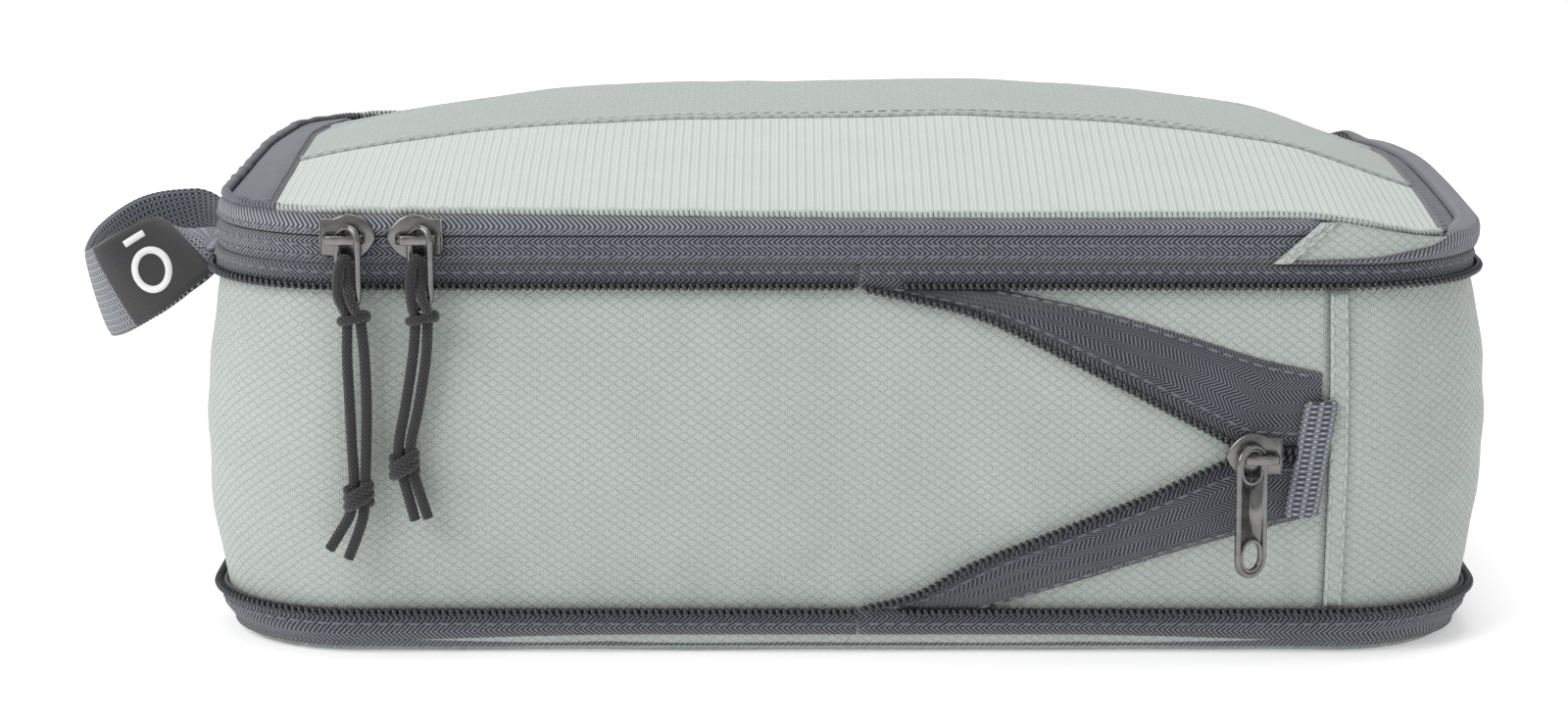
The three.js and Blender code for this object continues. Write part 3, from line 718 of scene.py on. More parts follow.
def herringbone_finish(name, dark, pale, column, flecks):
    """Slanting ribs that change direction at each column across the tape, with a painted highlight in pale grey-blue on
    the raised threads.
    """
    tape = Recipe(name, Roughness=0.8, Sheen_Weight=0.35, Sheen_Roughness=0.4)
    fold = tape.sum("PINGPONG", tape.v, column)
    slant = tape.sum("MULTIPLY_ADD", fold, 1.25, tape.u)
    rib = tape.ripple(slant, 1.05 * MM)
    thread = tape.ripple(fold, 0.3 * MM)
    base = tape.blend(tape.scaled(rib, 0.25, 0.9), dark, pale)
    # pale grey-blue where the ribs and threads stand highest: a painted highlight on the raised threads
    painted_highlight = tape.scaled(tape.sum("MULTIPLY", rib, thread), 0.72, 0.95, 0, flecks)
    base = tape.blend(painted_highlight, base, shade(196, 200, 208))
    base = tape.blend(tape.scaled(tape.cloud(12 * MM), 0.3, 0.8, 0, 0.25), base, dark)
    height = tape.sum("MULTIPLY_ADD", thread, 0.3, rib)
    return tape.finish(base, height, 0.0003)


herringbone = herringbone_finish(
    "slate_herringbone", shade(50, 52, 60), shade(138, 141, 151), 2.3 * MM, 0.4
)
zip_tape_cloth = herringbone_finish(
    "slate_zip_tape", shade(56, 59, 66), shade(158, 161, 169), 2.2 * MM, 0.3
)
# the rim's tape is the lid's tape made darker: the extra darkness is painted shade, for the shadow that the lid's edge
# casts on it
rim_tape_painted_shade = herringbone_finish(
    "slate_rim_tape", shade(38, 41, 48), shade(134, 137, 146), 2.2 * MM, 0.35
)
dark_tape_cloth = herringbone_finish(
    "dark_compression_tape", shade(32, 34, 41), shade(108, 111, 121), 2.4 * MM, 0.5
)

# %% Webbing
webbing = Recipe("speckled_webbing", Roughness=0.82, Sheen_Weight=0.3)
bars = webbing.ripple(webbing.u, 1.1 * MM)
one_way = webbing.ripple(webbing.sum("MULTIPLY_ADD", webbing.v, 0.8, webbing.u), 1.1 * MM)
other_way = webbing.ripple(webbing.sum("MULTIPLY_ADD", webbing.v, -0.8, webbing.u), 1.1 * MM)
lozenges = webbing.sum("MULTIPLY", one_way, other_way)
web_base = webbing.blend(webbing.scaled(bars, 0.1, 0.8), shade(44, 46, 53), shade(112, 116, 127))
web_base = webbing.blend(webbing.scaled(lozenges, 0.3, 0.8, 0, 0.8), web_base, shade(178, 182, 190))
webbing.finish(web_base, webbing.sum("ADD", lozenges, bars), 0.00022)

# %% Coil nylon, plated metal, threads and label
nylon = Recipe("black_nylon_coil", Roughness=0.28, Coat_Weight=0.4, Coat_Roughness=0.2)
nylon.finish(nylon.blend(nylon.cloud(3 * MM), shade(18, 18, 22), shade(40, 41, 48)))

plated = Recipe("gunmetal_plate", Metallic=1.0, Roughness=0.3)
tarnish = plated.cloud(2.5 * MM, 4)
plated_colour = plated.blend(tarnish, shade(88, 87, 87), shade(142, 141, 140))
plated.finish(plated_colour, tarnish, 0.00003, plated.scaled(tarnish, 0.3, 0.7, 0.16, 0.3))


def thread_finish(name, pale, dark):
    thread = Recipe(name, Roughness=0.7, Sheen_Weight=0.3)
    twist = thread.ripple(thread.sum("ADD", thread.u, thread.v), 0.35 * MM)
    return thread.finish(thread.blend(twist, dark, pale), twist, 0.00006)


sage_thread = thread_finish("sage_thread", shade(206, 212, 208), shade(150, 158, 153))
slate_thread = thread_finish("slate_thread", shade(126, 129, 138), shade(66, 68, 76))
white_thread = thread_finish("white_thread", shade(244, 244, 244), shade(206, 206, 206))

woven = Recipe("black_woven_label", Roughness=0.85, Sheen_Weight=0.2)
satin = woven.ripple(woven.v, 0.32 * MM)
picks = woven.ripple(woven.u, 0.5 * MM)
label_weave = woven.sum("MULTIPLY_ADD", picks, 0.4, satin)
woven.finish(woven.blend(satin, shade(24, 24, 25), shade(62, 62, 64)), label_weave, 0.00008)
print(len(bpy.data.materials), "finishes are mixed")

# %% [markdown]
# ## The case's plan
# Walls, tapes and zips all follow one rounded rectangle. It is walked once at a fine step,
# clockwise from the middle of the front, and every piece then asks for points by their
# distance along it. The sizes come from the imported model's tapes.

# %% Walk the outline
HALF_LENGTH = -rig.box("rim_zip_tape")[0][0] - 0.3 * MM
CORNER_RADIUS = 30 * MM


def walk_outline(step=0.5 * MM):
    run_x, run_y = HALF_LENGTH - CORNER_RADIUS, HALF_WIDTH - CORNER_RADIUS
    rows = []

    def straight(start, end, out):
        count = math.ceil(math.dist(start, end) / step)
        for i in range(count):
            x, y = (a + (b - a) * i / count for a, b in zip(start, end))
            rows.append((x, y, *out))

    def bend(centre, from_degrees):
        count = math.ceil(CORNER_RADIUS * math.pi / 2 / step)
        for i in range(count):
            turn = math.radians(from_degrees - 90 * i / count)
            out = (math.cos(turn), math.sin(turn))
            rows.append((*(c + CORNER_RADIUS * o for c, o in zip(centre, out)), *out))

    straight((0, -HALF_WIDTH), (-run_x, -HALF_WIDTH), (0, -1))
    bend((-run_x, -run_y), 270)
    straight((-HALF_LENGTH, -run_y), (-HALF_LENGTH, run_y), (-1, 0))
    bend((-run_x, run_y), 180)
    straight((-run_x, HALF_WIDTH), (run_x, HALF_WIDTH), (0, 1))
    bend((run_x, run_y), 90)
    straight((HALF_LENGTH, run_y), (HALF_LENGTH, -run_y), (1, 0))
    bend((run_x, -run_y), 360)
    straight((run_x, -HALF_WIDTH), (0, -HALF_WIDTH), (0, -1))
    rows.append(rows[0])
    return np.array(rows)


OUTLINE = walk_outline()
OUTLINE_LENGTHS = lengths_along(OUTLINE[:, :2])
PERIMETER = OUTLINE_LENGTHS[-1]
BACK_MIDDLE = PERIMETER / 2
UP = np.array([0.0, 0.0, 1.0])


def outline(distances):
    """Plan points and outward directions at distances from the front's middle."""
    found = [
        np.interp(np.asarray(distances) % PERIMETER, OUTLINE_LENGTHS, OUTLINE[:, column])
        for column in range(4)
    ]
    flat = np.zeros_like(found[0])
    out = np.stack([found[2], found[3], flat], axis=-1)
    out /= np.linalg.norm(out, axis=-1, keepdims=True)
    return np.stack([found[0], found[1], flat], axis=-1), out


def round_the_case(start, end, step=2 * MM):
    """A line round the outline from one distance to another, for sweep()."""
    distances = np.linspace(start, end, max(2, round((end - start) / step)))
    origin, out = outline(distances)
    return origin, out, np.broadcast_to(UP, origin.shape)


def half_width_at(x, inset):
    """Half the width at x of the outline, drawn in by inset all round."""
    radius = CORNER_RADIUS - inset
    past = np.clip(np.abs(x) - (HALF_LENGTH - CORNER_RADIUS), 0, radius)
    return HALF_WIDTH - CORNER_RADIUS + np.sqrt(radius**2 - past**2)


def front_at(x):
    """The distance along the outline of a point on the front."""
    return -x


def back_at(x):
    return BACK_MIDDLE + x


print("outline is", round(PERIMETER, 4), "m round")

# %% [markdown]
# ## Walls
# The walls are one long ripstop panel and a shorter one at the hinge end. A stuffed case
# pushes them out at half height, and the zip rows hold them in at top and bottom, so the
# cloth puckers beside each row. The puckers are pressed into the mesh with smooth noise that
# fades away from the rows. A cloth solver could find them too, but these have to line up
# with the tapes that are sewn over them, so they are made by the same rule that the tapes use.

# %% The wall's shape
LOWER_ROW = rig.box("lower_compression_coil")[0][2] + 0.95 * MM
UPPER_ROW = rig.box("upper_compression_coil")[1][2] - 0.95 * MM
WALL_FOOT, WALL_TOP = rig.box("main_wall_panel")[0][2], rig.box("main_wall_panel")[1][2]
BULGE = 4 * MM


def unevenness(points, size, seed=0.0):
    """Smooth noise from -1 to 1 at each point, in lumps of about size."""
    flat = np.asarray(points).reshape(-1, 3)
    shift = Vector((seed, seed * 0.7, -seed))
    values = [noise.noise(Vector(p) / size + shift) for p in flat]
    return np.array(values).reshape(np.asarray(points).shape[:-1])


def wall_stand_out(origin, heights):
    """How far the wall's outer face stands outside the outline."""
    share = np.clip((heights - LOWER_ROW) / (UPPER_ROW - LOWER_ROW), 0, 1)
    bulge = BULGE * np.sin(math.pi * share) ** 0.85
    points = np.array(np.broadcast_to(origin, heights.shape + (3,)))
    points[..., 2] = heights
    free = np.sin(math.pi * share) ** 0.5
    near_rows = np.exp(-np.minimum(heights - LOWER_ROW, UPPER_ROW - heights).clip(0) / (9 * MM))
    stretched = points * np.array([1, 1, 0.3])
    broad = unevenness(points * np.array([1, 1, 0.7]), 38 * MM, 3)
    pucker = unevenness(stretched, 7 * MM, 11)
    crease = unevenness(points * np.array([1, 1, 1.6]), 15 * MM, 5)
    offset = bulge + free * (1.1 * MM * broad + 0.6 * MM * crease)
    offset += free * near_rows * 2.1 * MM * pucker
    foot = np.clip((LOWER_ROW - heights) / (LOWER_ROW - WALL_FOOT), 0, 1)
    return offset - 3.2 * MM * foot**2


def wall_panel(name, start, end, nodes):
    distances = np.linspace(start, end, round((end - start) / (2.2 * MM)))
    heights = np.concatenate(
        [np.linspace(WALL_FOOT, LOWER_ROW, 5)[:-1], np.linspace(LOWER_ROW, WALL_TOP, 38)]
    )
    origin, out = outline(distances)
    spread = np.broadcast_to(heights, (len(distances), len(heights)))
    stand = wall_stand_out(origin[:, None, :], spread)
    faces = []
    for thickness in (0, 0.8 * MM):
        grid = origin[:, None, :] + out[:, None, :] * (stand - thickness)[..., None]
        grid = grid + UP * spread[..., None]
        faces.append(grid)
    cloth = np.stack(np.meshgrid(distances, heights, indexing="ij"), axis=-1)
    piece = sheet(name, *faces, cloth, ripstop)
    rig.slot(piece, "sage_ripstop")
    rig.replaces(piece, *nodes)
    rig.ride(piece, "base")
    return piece


SEAM_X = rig.box("hinge_end_wall_panel")[0][0]
main_wall = wall_panel(
    "main_ripstop_wall", front_at(SEAM_X), back_at(SEAM_X), ["main_wall_panel"]
)
hinge_wall = wall_panel(
    "hinge_end_ripstop_wall",
    back_at(SEAM_X),
    PERIMETER + front_at(SEAM_X),
    ["hinge_end_wall_panel"],
)

# %% [markdown]
# When the case is compressed, the walls fold up between the two zip rows. Squashing a piece
# towards its foot, in step with the rim's slide, is enough to keep both edges joined.

# %% How the walls follow the rim
TRAVEL = -next(j for j in frame["joints"] if j["name"] == "compress")["range_m"][0]


def crumple(piece, foot):
    """The piece flattens down to foot as the rim comes down."""
    keep = 1 - TRAVEL / (WALL_TOP - foot)
    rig.squash(piece, "compress", axis=(0, 0, 1), anchor=(0, 0, foot), keep=keep)


for wall in (main_wall, hinge_wall):
    crumple(wall, WALL_FOOT)
print("walls keep", round(1 - TRAVEL / (WALL_TOP - WALL_FOOT), 3), "of their height")

# %% [markdown]
# ## Pieces that lie on the walls
# Seams and tapes that are sewn onto a wall take their shape from the wall's own rule, a
# little further out. Stitches are small grains of thread laid end to end, each arched over
# the cloth and pinched in at both ends, all joined into one piece for each row.

# %% Patches and stitches


def on_wall(distances, heights, proud):
    """Points on a wall, at distances round it and heights, proud of its outer face."""
    origin, out = outline(distances)
    stand = wall_stand_out(origin, heights) + proud
    return origin + out * stand[..., None] + UP * heights[..., None], out


def wall_patch(name, distances, heights, cloth, proud, thickness, material):
    """A sheet sewn on a wall. distances and heights are grids of (rows, columns)."""
    rounded = np.ones(distances.shape)
    rounded[:, [0, -1]] = 0.25
    outer, _ = on_wall(distances, heights, proud + thickness * rounded)
    inner, _ = on_wall(distances, heights, proud * np.ones(distances.shape))
    return sheet(name, outer, inner, cloth, material)


# (share of the length, width, lift off the cloth) of each ring of a stitch
STITCH_SHAPE = (
    (0, 0.3, -0.15), (0.15, 0.9, 0.2), (0.5, 1, 0.42), (0.85, 0.9, 0.2), (1, 0.3, -0.15),
)


def stitch_row(name, points, outs, thread, length=2.3 * MM, gap=0.8 * MM, radius=0.24 * MM):
    """One row of stitches along points, lying on cloth that faces along outs."""
    along = lengths_along(points)
    starts = np.arange(gap / 2, along[-1] - length, length + gap)

    def at(distance, values):
        return np.stack([np.interp(distance, along, values[:, k]) for k in range(3)], axis=-1)

    first, last = at(starts, points), at(starts + length, points)
    out = at(starts + length / 2, outs)
    out /= np.linalg.norm(out, axis=1)[:, None]
    side = np.cross(last - first, out)
    side /= np.linalg.norm(side, axis=1)[:, None]
    turns = np.arange(6) * math.pi / 3
    verts, faces, cloth = [], [], []
    for i in range(len(starts)):
        base = len(verts)
        for share, width, lift in STITCH_SHAPE:
            middle = first[i] + (last[i] - first[i]) * share + out[i] * lift * radius * 2
            for turn in turns:
                spoke = side[i] * math.cos(turn) * 1.25 + out[i] * math.sin(turn)
                verts.append(middle + spoke * radius * width)
        for ring in range(4):
            for j in range(6):
                a, b = base + ring * 6 + j, base + ring * 6 + (j + 1) % 6
                faces.append((a, b, b + 6, a + 6))
                u, v = starts[i] + ring * length / 4, j * radius
                cloth += [(u, v), (u, v + radius), (u + length / 4, v + radius)]
                cloth.append((u + length / 4, v))
        for ring in (0, 4):
            faces.append(tuple(base + ring * 6 + j for j in range(6)))
            cloth += [(starts[i], j * radius) for j in range(6)]
    return solid(name, verts, faces, cloth, thread)


# %% Felled seams at the ends of the long wall panel
FELL_WIDTH = 3.6 * MM
SEAM_FOOT, SEAM_HEAD = LOWER_ROW + 0.5 * MM, UPPER_ROW - 0.5 * MM
for end, start in (("front", front_at(SEAM_X) - FELL_WIDTH), ("back", back_at(SEAM_X))):
    heights = np.linspace(SEAM_FOOT, SEAM_HEAD, 40)
    across = np.linspace(0, FELL_WIDTH, 5)
    grid_d, grid_z = np.meshgrid(start + across, heights, indexing="ij")
    cloth = np.stack([grid_d, grid_z], axis=-1)
    strip = wall_patch(f"{end}_felled_seam", grid_d, grid_z, cloth, 0.05 * MM, 0.6 * MM, ripstop)
    place(strip, "base", "sage_ripstop")
    crumple(strip, WALL_FOOT)
    for which, inset in (("near", 0.5 * MM), ("far", FELL_WIDTH - 0.5 * MM)):
        points, outs = on_wall(np.full(40, start + inset), heights, 0.6 * MM)
        row = stitch_row(f"{end}_seam_stitches_{which}", points, outs, sage_thread)
        place(row, "base", "sage_ripstop")
        crumple(row, WALL_FOOT)
print("felled seams are sewn at x =", round(SEAM_X, 4))

# %% [markdown]
# ## The compression zip
# Its two rows run right round the case. Each row is a coil of thick nylon thread on the edge
# of a tape. From outside the coil reads as a line of glossy beads, so it is made as the true
# thing: one long thread that winds round the tape's edge at an even pitch.

# %% A coil on a line


def smooth_share(value, low, high):
    """From 0 at low to 1 at high, with a soft start and end."""
    share = np.clip((value - low) / (high - low), 0, 1)
    return share * share * (3 - 2 * share)


def finer(line, step):
    """The same line at an even step."""
    along = lengths_along(line[0])
    even = np.linspace(0, along[-1], round(along[-1] / step))
    return tuple(
        np.stack([np.interp(even, along, part[:, k]) for k in range(3)], axis=1) for part in line
    )


def coil(name, line, centre, radii, wire, pitch, material, sides=6, steps=10):
    """Thread wound round a line. centre and radii are (out, up) in its section."""
    origin, out, up = finer(line, pitch / steps)
    turn = np.arange(len(origin))[:, None] * 2 * math.pi / steps
    radial = out * np.cos(turn) + up * np.sin(turn)
    points = (
        origin
        + out * (centre[0] + radii[0] * np.cos(turn))
        + up * (centre[1] + radii[1] * np.sin(turn))
    )
    # the thread is flattened fatter where it turns over the edge, which reads as a bead
    fat = wire * (1 + 0.3 * np.cos(turn))
    return tube(name, points, np.repeat(fat, sides, axis=1), sides, material, radial)


# %% The two rows round the case
TAPE_START, TAPE_END = front_at(2 * MM), PERIMETER + front_at(2.6 * MM)
COIL_END = PERIMETER + front_at(11 * MM)
COIL_PITCH, COIL_WIRE = 1.42 * MM, 0.42 * MM
COIL_RADII = (0.62 * MM, 0.5 * MM)
COIL_STAND_OFF = 1.95 * MM
loop = round_the_case(TAPE_START, TAPE_END)
coil_loop = round_the_case(TAPE_START, COIL_END)

LOWER_TAPE = [
    (0.4, 9.9), (1.0, 9.9), (1.25, 9.3), (1.2, 8), (1.1, 6.6), (0.8, 5.2), (0.35, 4.3),
    (-0.1, 4.2), (-0.2, 4.8), (0.15, 6), (0.35, 8),
]
UPPER_TAPE = [
    (0.4, 74.7), (1.0, 74.7), (1.15, 75.3), (1.15, 77), (1.3, 78.2), (1.2, 79.1), (0.7, 79.5),
    (0.1, 79.3), (0.35, 78.2), (0.4, 77),
]


def one_for_each(line, section):
    """A section given in mm, copied for each point of a line, so that it can vary."""
    return np.broadcast_to(np.array(section) * MM, (len(line[0]), len(section), 2)).copy()


for row, body, section, height in (
    ("lower", "base", LOWER_TAPE, LOWER_ROW),
    ("upper", "rim", UPPER_TAPE, UPPER_ROW),
):
    section = one_for_each(loop, section)
    if row == "lower":
        # the tape widens towards the corners, where less of the floor's edge shows under it
        wider = smooth_share(np.abs(loop[0][:, 0]), 40 * MM, 118 * MM)[:, None]
        below = (9.3 * MM - section[..., 1]).clip(0)
        section[..., 1] -= below * 0.42 * wider
        section[..., 0] -= below * 0.3 * wider * (below > 3 * MM)
    tape = sweep(f"{row}_compression_herringbone", loop, section, dark_tape_cloth)
    place(tape, body, "slate_tape", f"{row}_compression_tape")
    centre = (COIL_STAND_OFF, height)
    beads = coil(
        f"{row}_compression_beads", coil_loop, centre, COIL_RADII, COIL_WIRE, COIL_PITCH,
        nylon.material,
    )
    place(beads, body, "black_coil", f"{row}_compression_coil")
    sewn = height + (2.6 * MM if row == "upper" else -2.6 * MM)
    points = loop[0] + loop[1] * 1.15 * MM + UP * sewn
    row_piece = stitch_row(f"{row}_compression_stitches", points, loop[1], slate_thread)
    place(row_piece, body, "slate_tape")
    print(row, "row:", len(beads.data.polygons), "faces of coil")

# %% [markdown]
# Near the middle of the front each row leaves its edge and slants across the wall to the
# slider. There the tape shows its whole width, from the coil to its sewn-down edge.

# %% Run-ins to the slider
RUN_INS = {
    "upper": {
        "coil": [
            (3.4, 74.8), (14, 72.6), (27.6, 69), (47.2, 59.6), (62, 52), (72.5, 46.6),
            (78, 43.6), (84, 43.05), (93.8, 43),
        ],
        "edge": [(31, 74.2), (49, 70.6), (66.9, 65.6), (82, 61), (93.8, 58.4)],
    },
    "lower": {
        "coil": [
            (3.4, 9.8), (14, 12.9), (27.6, 20.2), (57.1, 32.2), (72.5, 39.4), (78, 41.4),
            (84, 41.65), (93.8, 41.7),
        ],
        "edge": [(28, 9.8), (57.1, 19.1), (75, 24.6), (93.8, 29.6)],
    },
}


def plan_line(points, count):
    """Even points along a smooth line through (x, z) points, as distances and heights."""
    route = smooth_line([(x * MM, 0, z * MM) for x, z in points], 0.5 * MM)
    along = lengths_along(route)
    even = np.linspace(0, along[-1], count)
    return np.interp(even, along, route[:, 0]), np.interp(even, along, route[:, 2]), even


for row, lines in RUN_INS.items():
    count = 80
    inner_x, inner_z, along = plan_line(lines["coil"], count)
    outer_x, outer_z, _ = plan_line(lines["edge"], count)
    share = np.linspace(0.02, 1, 9)[None, :]
    grid_x = inner_x[:, None] * (1 - share) + outer_x[:, None] * share
    grid_z = inner_z[:, None] * (1 - share) + outer_z[:, None] * share
    width = np.hypot(outer_x - inner_x, outer_z - inner_z)[:, None] * share
    cloth = np.stack([np.broadcast_to(along[:, None], width.shape), width], axis=-1)
    ribbon = wall_patch(
        f"{row}_run_in_herringbone", front_at(grid_x), grid_z, cloth, 0.3 * MM, 0.65 * MM,
        dark_tape_cloth,
    )
    place(ribbon, "base", "slate_tape", f"{row}_run_in_tape")
    crumple(ribbon, WALL_FOOT)

    points, outs = on_wall(front_at(inner_x), inner_z, np.zeros(count))
    forward = np.gradient(points, axis=0)
    sideways = np.cross(outs, forward)
    sideways /= np.linalg.norm(sideways, axis=1)[:, None]
    beads = coil(
        f"{row}_run_in_beads", (points, outs, sideways), (1.7 * MM, 0), COIL_RADII, COIL_WIRE,
        COIL_PITCH, nylon.material,
    )
    place(beads, "base", "black_coil", f"{row}_run_in_coil")
    crumple(beads, WALL_FOOT)

    for which, inset in (("coil", 0.2), ("edge", 0.93)):
        x = inner_x * (1 - inset) + outer_x * inset
        z = inner_z * (1 - inset) + outer_z * inset
        points, outs = on_wall(front_at(x), z, 0.95 * MM)
        stitches = stitch_row(f"{row}_run_in_{which}_stitches", points, outs, slate_thread)
        place(stitches, "base", "slate_tape")
        crumple(stitches, WALL_FOOT)
print("run-ins are sewn down")

# %% [markdown]
# ## The lid's edge
# The lid is a shallow dome in three panels: knitted mesh at front and back and a closed
# ripstop band between. Its edge lies nearly level along the zip, a little lower at the back,
# drops at the two hinge corners, and rises again over the middle of the hinge end, where the
# contents push it up. One rule gives the edge's height anywhere. The zip, the panels, the
# gusset and the binding all ask it, so they meet.

# %% The lid's edge
LID_EDGE = 89.3 * MM
FRONT_SAG, BACK_SAG, FREE_CORNER_SAG = 0.9 * MM, 2 * MM, 1.2 * MM
CORNER_DROP = 5.6 * MM
HINGE_END_ARCH, ARCH_HALF_WIDTH = 2.2 * MM, 74 * MM


def edge_height(x, y):
    """Where the lid's edge lies."""
    turned = smooth_share(x, 88 * MM, 126 * MM)
    arch = np.clip(1 - (y / ARCH_HALF_WIDTH) ** 2, 0, 1)
    slack_back = BACK_SAG + FREE_CORNER_SAG * smooth_share(-x, 40 * MM, 110 * MM)
    sag = FRONT_SAG * smooth_share(x, -100 * MM, 20 * MM) + slack_back * smooth_share(y, 0, 80 * MM)
    return LID_EDGE - sag - CORNER_DROP * turned + HINGE_END_ARCH * arch * turned**2


# %% [markdown]
# ## The main zip
# This zip is sewn in back to front, so outside there are only its two tapes, with their lips
# nearly touching at the parting line, and the coils are inside. The rim's tape stays with
# the walls, and the lid's tape goes up with the lid.

# %% Main zip tapes and coils
PARTING = (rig.box("rim_zip_tape")[1][2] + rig.box("lid_zip_tape")[0][2]) / 2
LID_TAPE_BEND = 86.4 * MM
MAIN_TAPE_END, MAIN_COIL_END = 93.5 * MM, 80 * MM
main_run = round_the_case(front_at(MAIN_TAPE_END), back_at(MAIN_TAPE_END))
RIM_TAPE = [
    (0.5, 79.5), (0.62, 81), (0.6, 82.8), (0.45, 84.1), (0.1, 84.85), (-0.35, 84.9),
    (-0.3, 84), (-0.05, 82.8), (0.0, 81), (-0.1, 79.5),
]
LID_TAPE = [
    (-0.35, 85.12), (0.1, 85.16), (0.45, 85.7), (0.65, 86.6), (0.55, 87.6), (0.1, 88.6),
    (-0.7, 89.5), (-1.1, 89.2), (-0.4, 88.2), (-0.05, 87.4), (0, 86.6), (-0.25, 85.8),
]
# the rim's tape takes the darker finish, whose darkness is painted shade under the lid's edge
for part, body, section, sewn, tape_cloth in (
    ("rim", "rim", RIM_TAPE, (81.0, 83.2), rim_tape_painted_shade),
    ("lid", "lid", LID_TAPE, (86.2,), zip_tape_cloth),
):
    section = one_for_each(main_run, section)
    if part == "lid":
        # the tape's upper part reaches the lid's edge, wherever that lies
        edge = edge_height(main_run[0][:, 0], main_run[0][:, 1])[:, None]
        above = (section[..., 1] - LID_TAPE_BEND).clip(0) / (LID_EDGE - LID_TAPE_BEND)
        section[..., 1] += above * (edge - LID_EDGE)
    tape = sweep(f"{part}_zip_herringbone", main_run, section, tape_cloth)
    place(tape, body, "slate_tape", f"{part}_zip_tape")
    for number, height in enumerate(sewn):
        points = main_run[0] + main_run[1] * 0.62 * MM + UP * height * MM
        row = stitch_row(f"{part}_zip_stitches_{number}", points, main_run[1], slate_thread)
        place(row, body, "slate_tape")
    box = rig.box(f"{part}_zip_coil")
    inside_run = round_the_case(front_at(MAIN_COIL_END), back_at(MAIN_COIL_END))
    centre = (-1.35 * MM, (box[0][2] + box[1][2]) / 2)
    beads = coil(
        f"{part}_zip_beads", inside_run, centre, (0.5 * MM, 0.5 * MM), 0.3 * MM, 1.42 * MM,
        nylon.material, sides=5, steps=7,
    )
    place(beads, body, "slate_tape", f"{part}_zip_coil")
print("main zip parts at z =", round(PARTING, 4), "m")

# %% [markdown]
# ## The lid's panels
# One rule gives the dome's height at any point, and each panel is a grid of points taken
# from it. The grid is given a thickness, and its edges meet the edges of its neighbours, so
# three separate cloths make one smooth dome.

# %% Panels
DOME_INSET = 2.2 * MM
DOME_LENGTH, DOME_RISE = HALF_LENGTH - DOME_INSET, 16.4 * MM
# the dome keeps its height further towards the hinged end than towards the free end
FREE_FULLNESS, HINGED_FULLNESS = 2.6, 3.1
SIDE_FULLNESS = 1.55
BAND_HALF_WIDTH = -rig.box("lid_centre_band")[0][1]
FREE_HEM, HINGED_HEM = 114 * MM, 119.3 * MM


def lid_half_width(x):
    return half_width_at(x, DOME_INSET)


def dome_point(x, y):
    """Points on the lid's outer face, from their places in the plan."""
    fullness = np.where(x < 0, FREE_FULLNESS, HINGED_FULLNESS)
    along = 1 - np.abs(x / DOME_LENGTH).clip(0, 1) ** fullness
    across = 1 - np.abs(y / lid_half_width(x)).clip(0, 1) ** SIDE_FULLNESS
    rise = (along * across).clip(0, 1)
    free = rise**0.3
    points = np.stack([x, y, np.zeros_like(x)], axis=-1)
    lumps = 1.1 * MM * unevenness(points, 55 * MM, 21) + 0.35 * MM * unevenness(points, 14 * MM, 8)
    seam = np.exp(-(((np.abs(y) - BAND_HALF_WIDTH) / (1.6 * MM)) ** 2))
    height = edge_height(x, y) + DOME_RISE * rise + (lumps - 0.5 * MM * seam) * free
    return np.stack([x, y, height], axis=-1)


def lid_panel(name, near, far, columns, material, nodes, slot):
    """A panel of the lid between two plan lines, finer towards the lid's edge."""
    x = DOME_LENGTH * np.sin(np.linspace(-math.pi / 2, math.pi / 2, 110))
    share = np.linspace(0, 1, columns)
    if near is None:
        share = share**1.7
    if far is None:
        share = 1 - (1 - share) ** 1.7
    low = -lid_half_width(x) if near is None else np.full_like(x, near)
    high = lid_half_width(x) if far is None else np.full_like(x, far)
    y = low[:, None] * (1 - share) + high[:, None] * share
    grid_x = np.broadcast_to(x[:, None], y.shape)
    outer = dome_point(grid_x, y)
    cloth = np.stack([grid_x, y], axis=-1)
    panel = sheet(name, outer, outer - UP * 0.7 * MM, cloth, material)
    return place(panel, "lid", slot, *nodes)


seam = BAND_HALF_WIDTH
mesh_parts = {
    side: [f"lid_{side}_mesh{part}" for part in ("", "_edge", "_free_end", "_hinge_end")]
    for side in ("front", "back")
}
lid_panel("front_mesh_panel", None, -seam, 40, knit.material, mesh_parts["front"], "pale_mesh")
lid_panel("closed_band_panel", -seam, seam, 34, band_cloth, ["lid_centre_band"], "sage_ripstop")
lid_panel("back_mesh_panel", seam, None, 40, knit.material, mesh_parts["back"], "pale_mesh")
for end, side in (("front", -1), ("back", 1)):
    x = np.linspace(-FREE_HEM, HINGED_HEM, 260)
    ridge = dome_point(x, np.full_like(x, side * seam))
    turned_edge = [(-1.5, 0), (-1.1, 0.5), (0, 0.95), (0.7, 0.75), (0.95, 0.2), (0.8, -0.3)]
    outwards = np.broadcast_to([0.0, float(side), 0.0], ridge.shape)
    upright = np.broadcast_to(UP, ridge.shape)
    section = np.array(turned_edge) * MM
    fold = sweep(f"band_{end}_folded_edge", (ridge, outwards, upright), section, band_cloth)
    place(fold, "lid", "sage_ripstop")
    points = dome_point(x, np.full_like(x, side * (seam - 2.2 * MM)))
    row = stitch_row(f"band_{end}_stitches", points, upright, sage_thread, 1.9 * MM)
    place(row, "lid", "sage_ripstop")

# %% [markdown]
# The lid's cut edge is overlocked: thread loops round it close together, which gives the
# fuzzy line above the zip. Coils wound from soft thread round the edge make it. The thread
# is sage along the mesh at front and back, and slate round the free end, like the hem there.

# %% Overlocked edge of the lid
OVERLOCK_END = 122 * MM


def lid_edge_line(start, end):
    origin, out, up = round_the_case(start, end, 1 * MM)
    loose = 0.3 * MM * unevenness(origin, 4 * MM, 51)
    edge = origin + out * (loose - 1.2 * MM)[:, None]
    edge[:, 2] = edge_height(origin[:, 0], origin[:, 1]) + 0.75 * MM + loose
    return edge, out, up


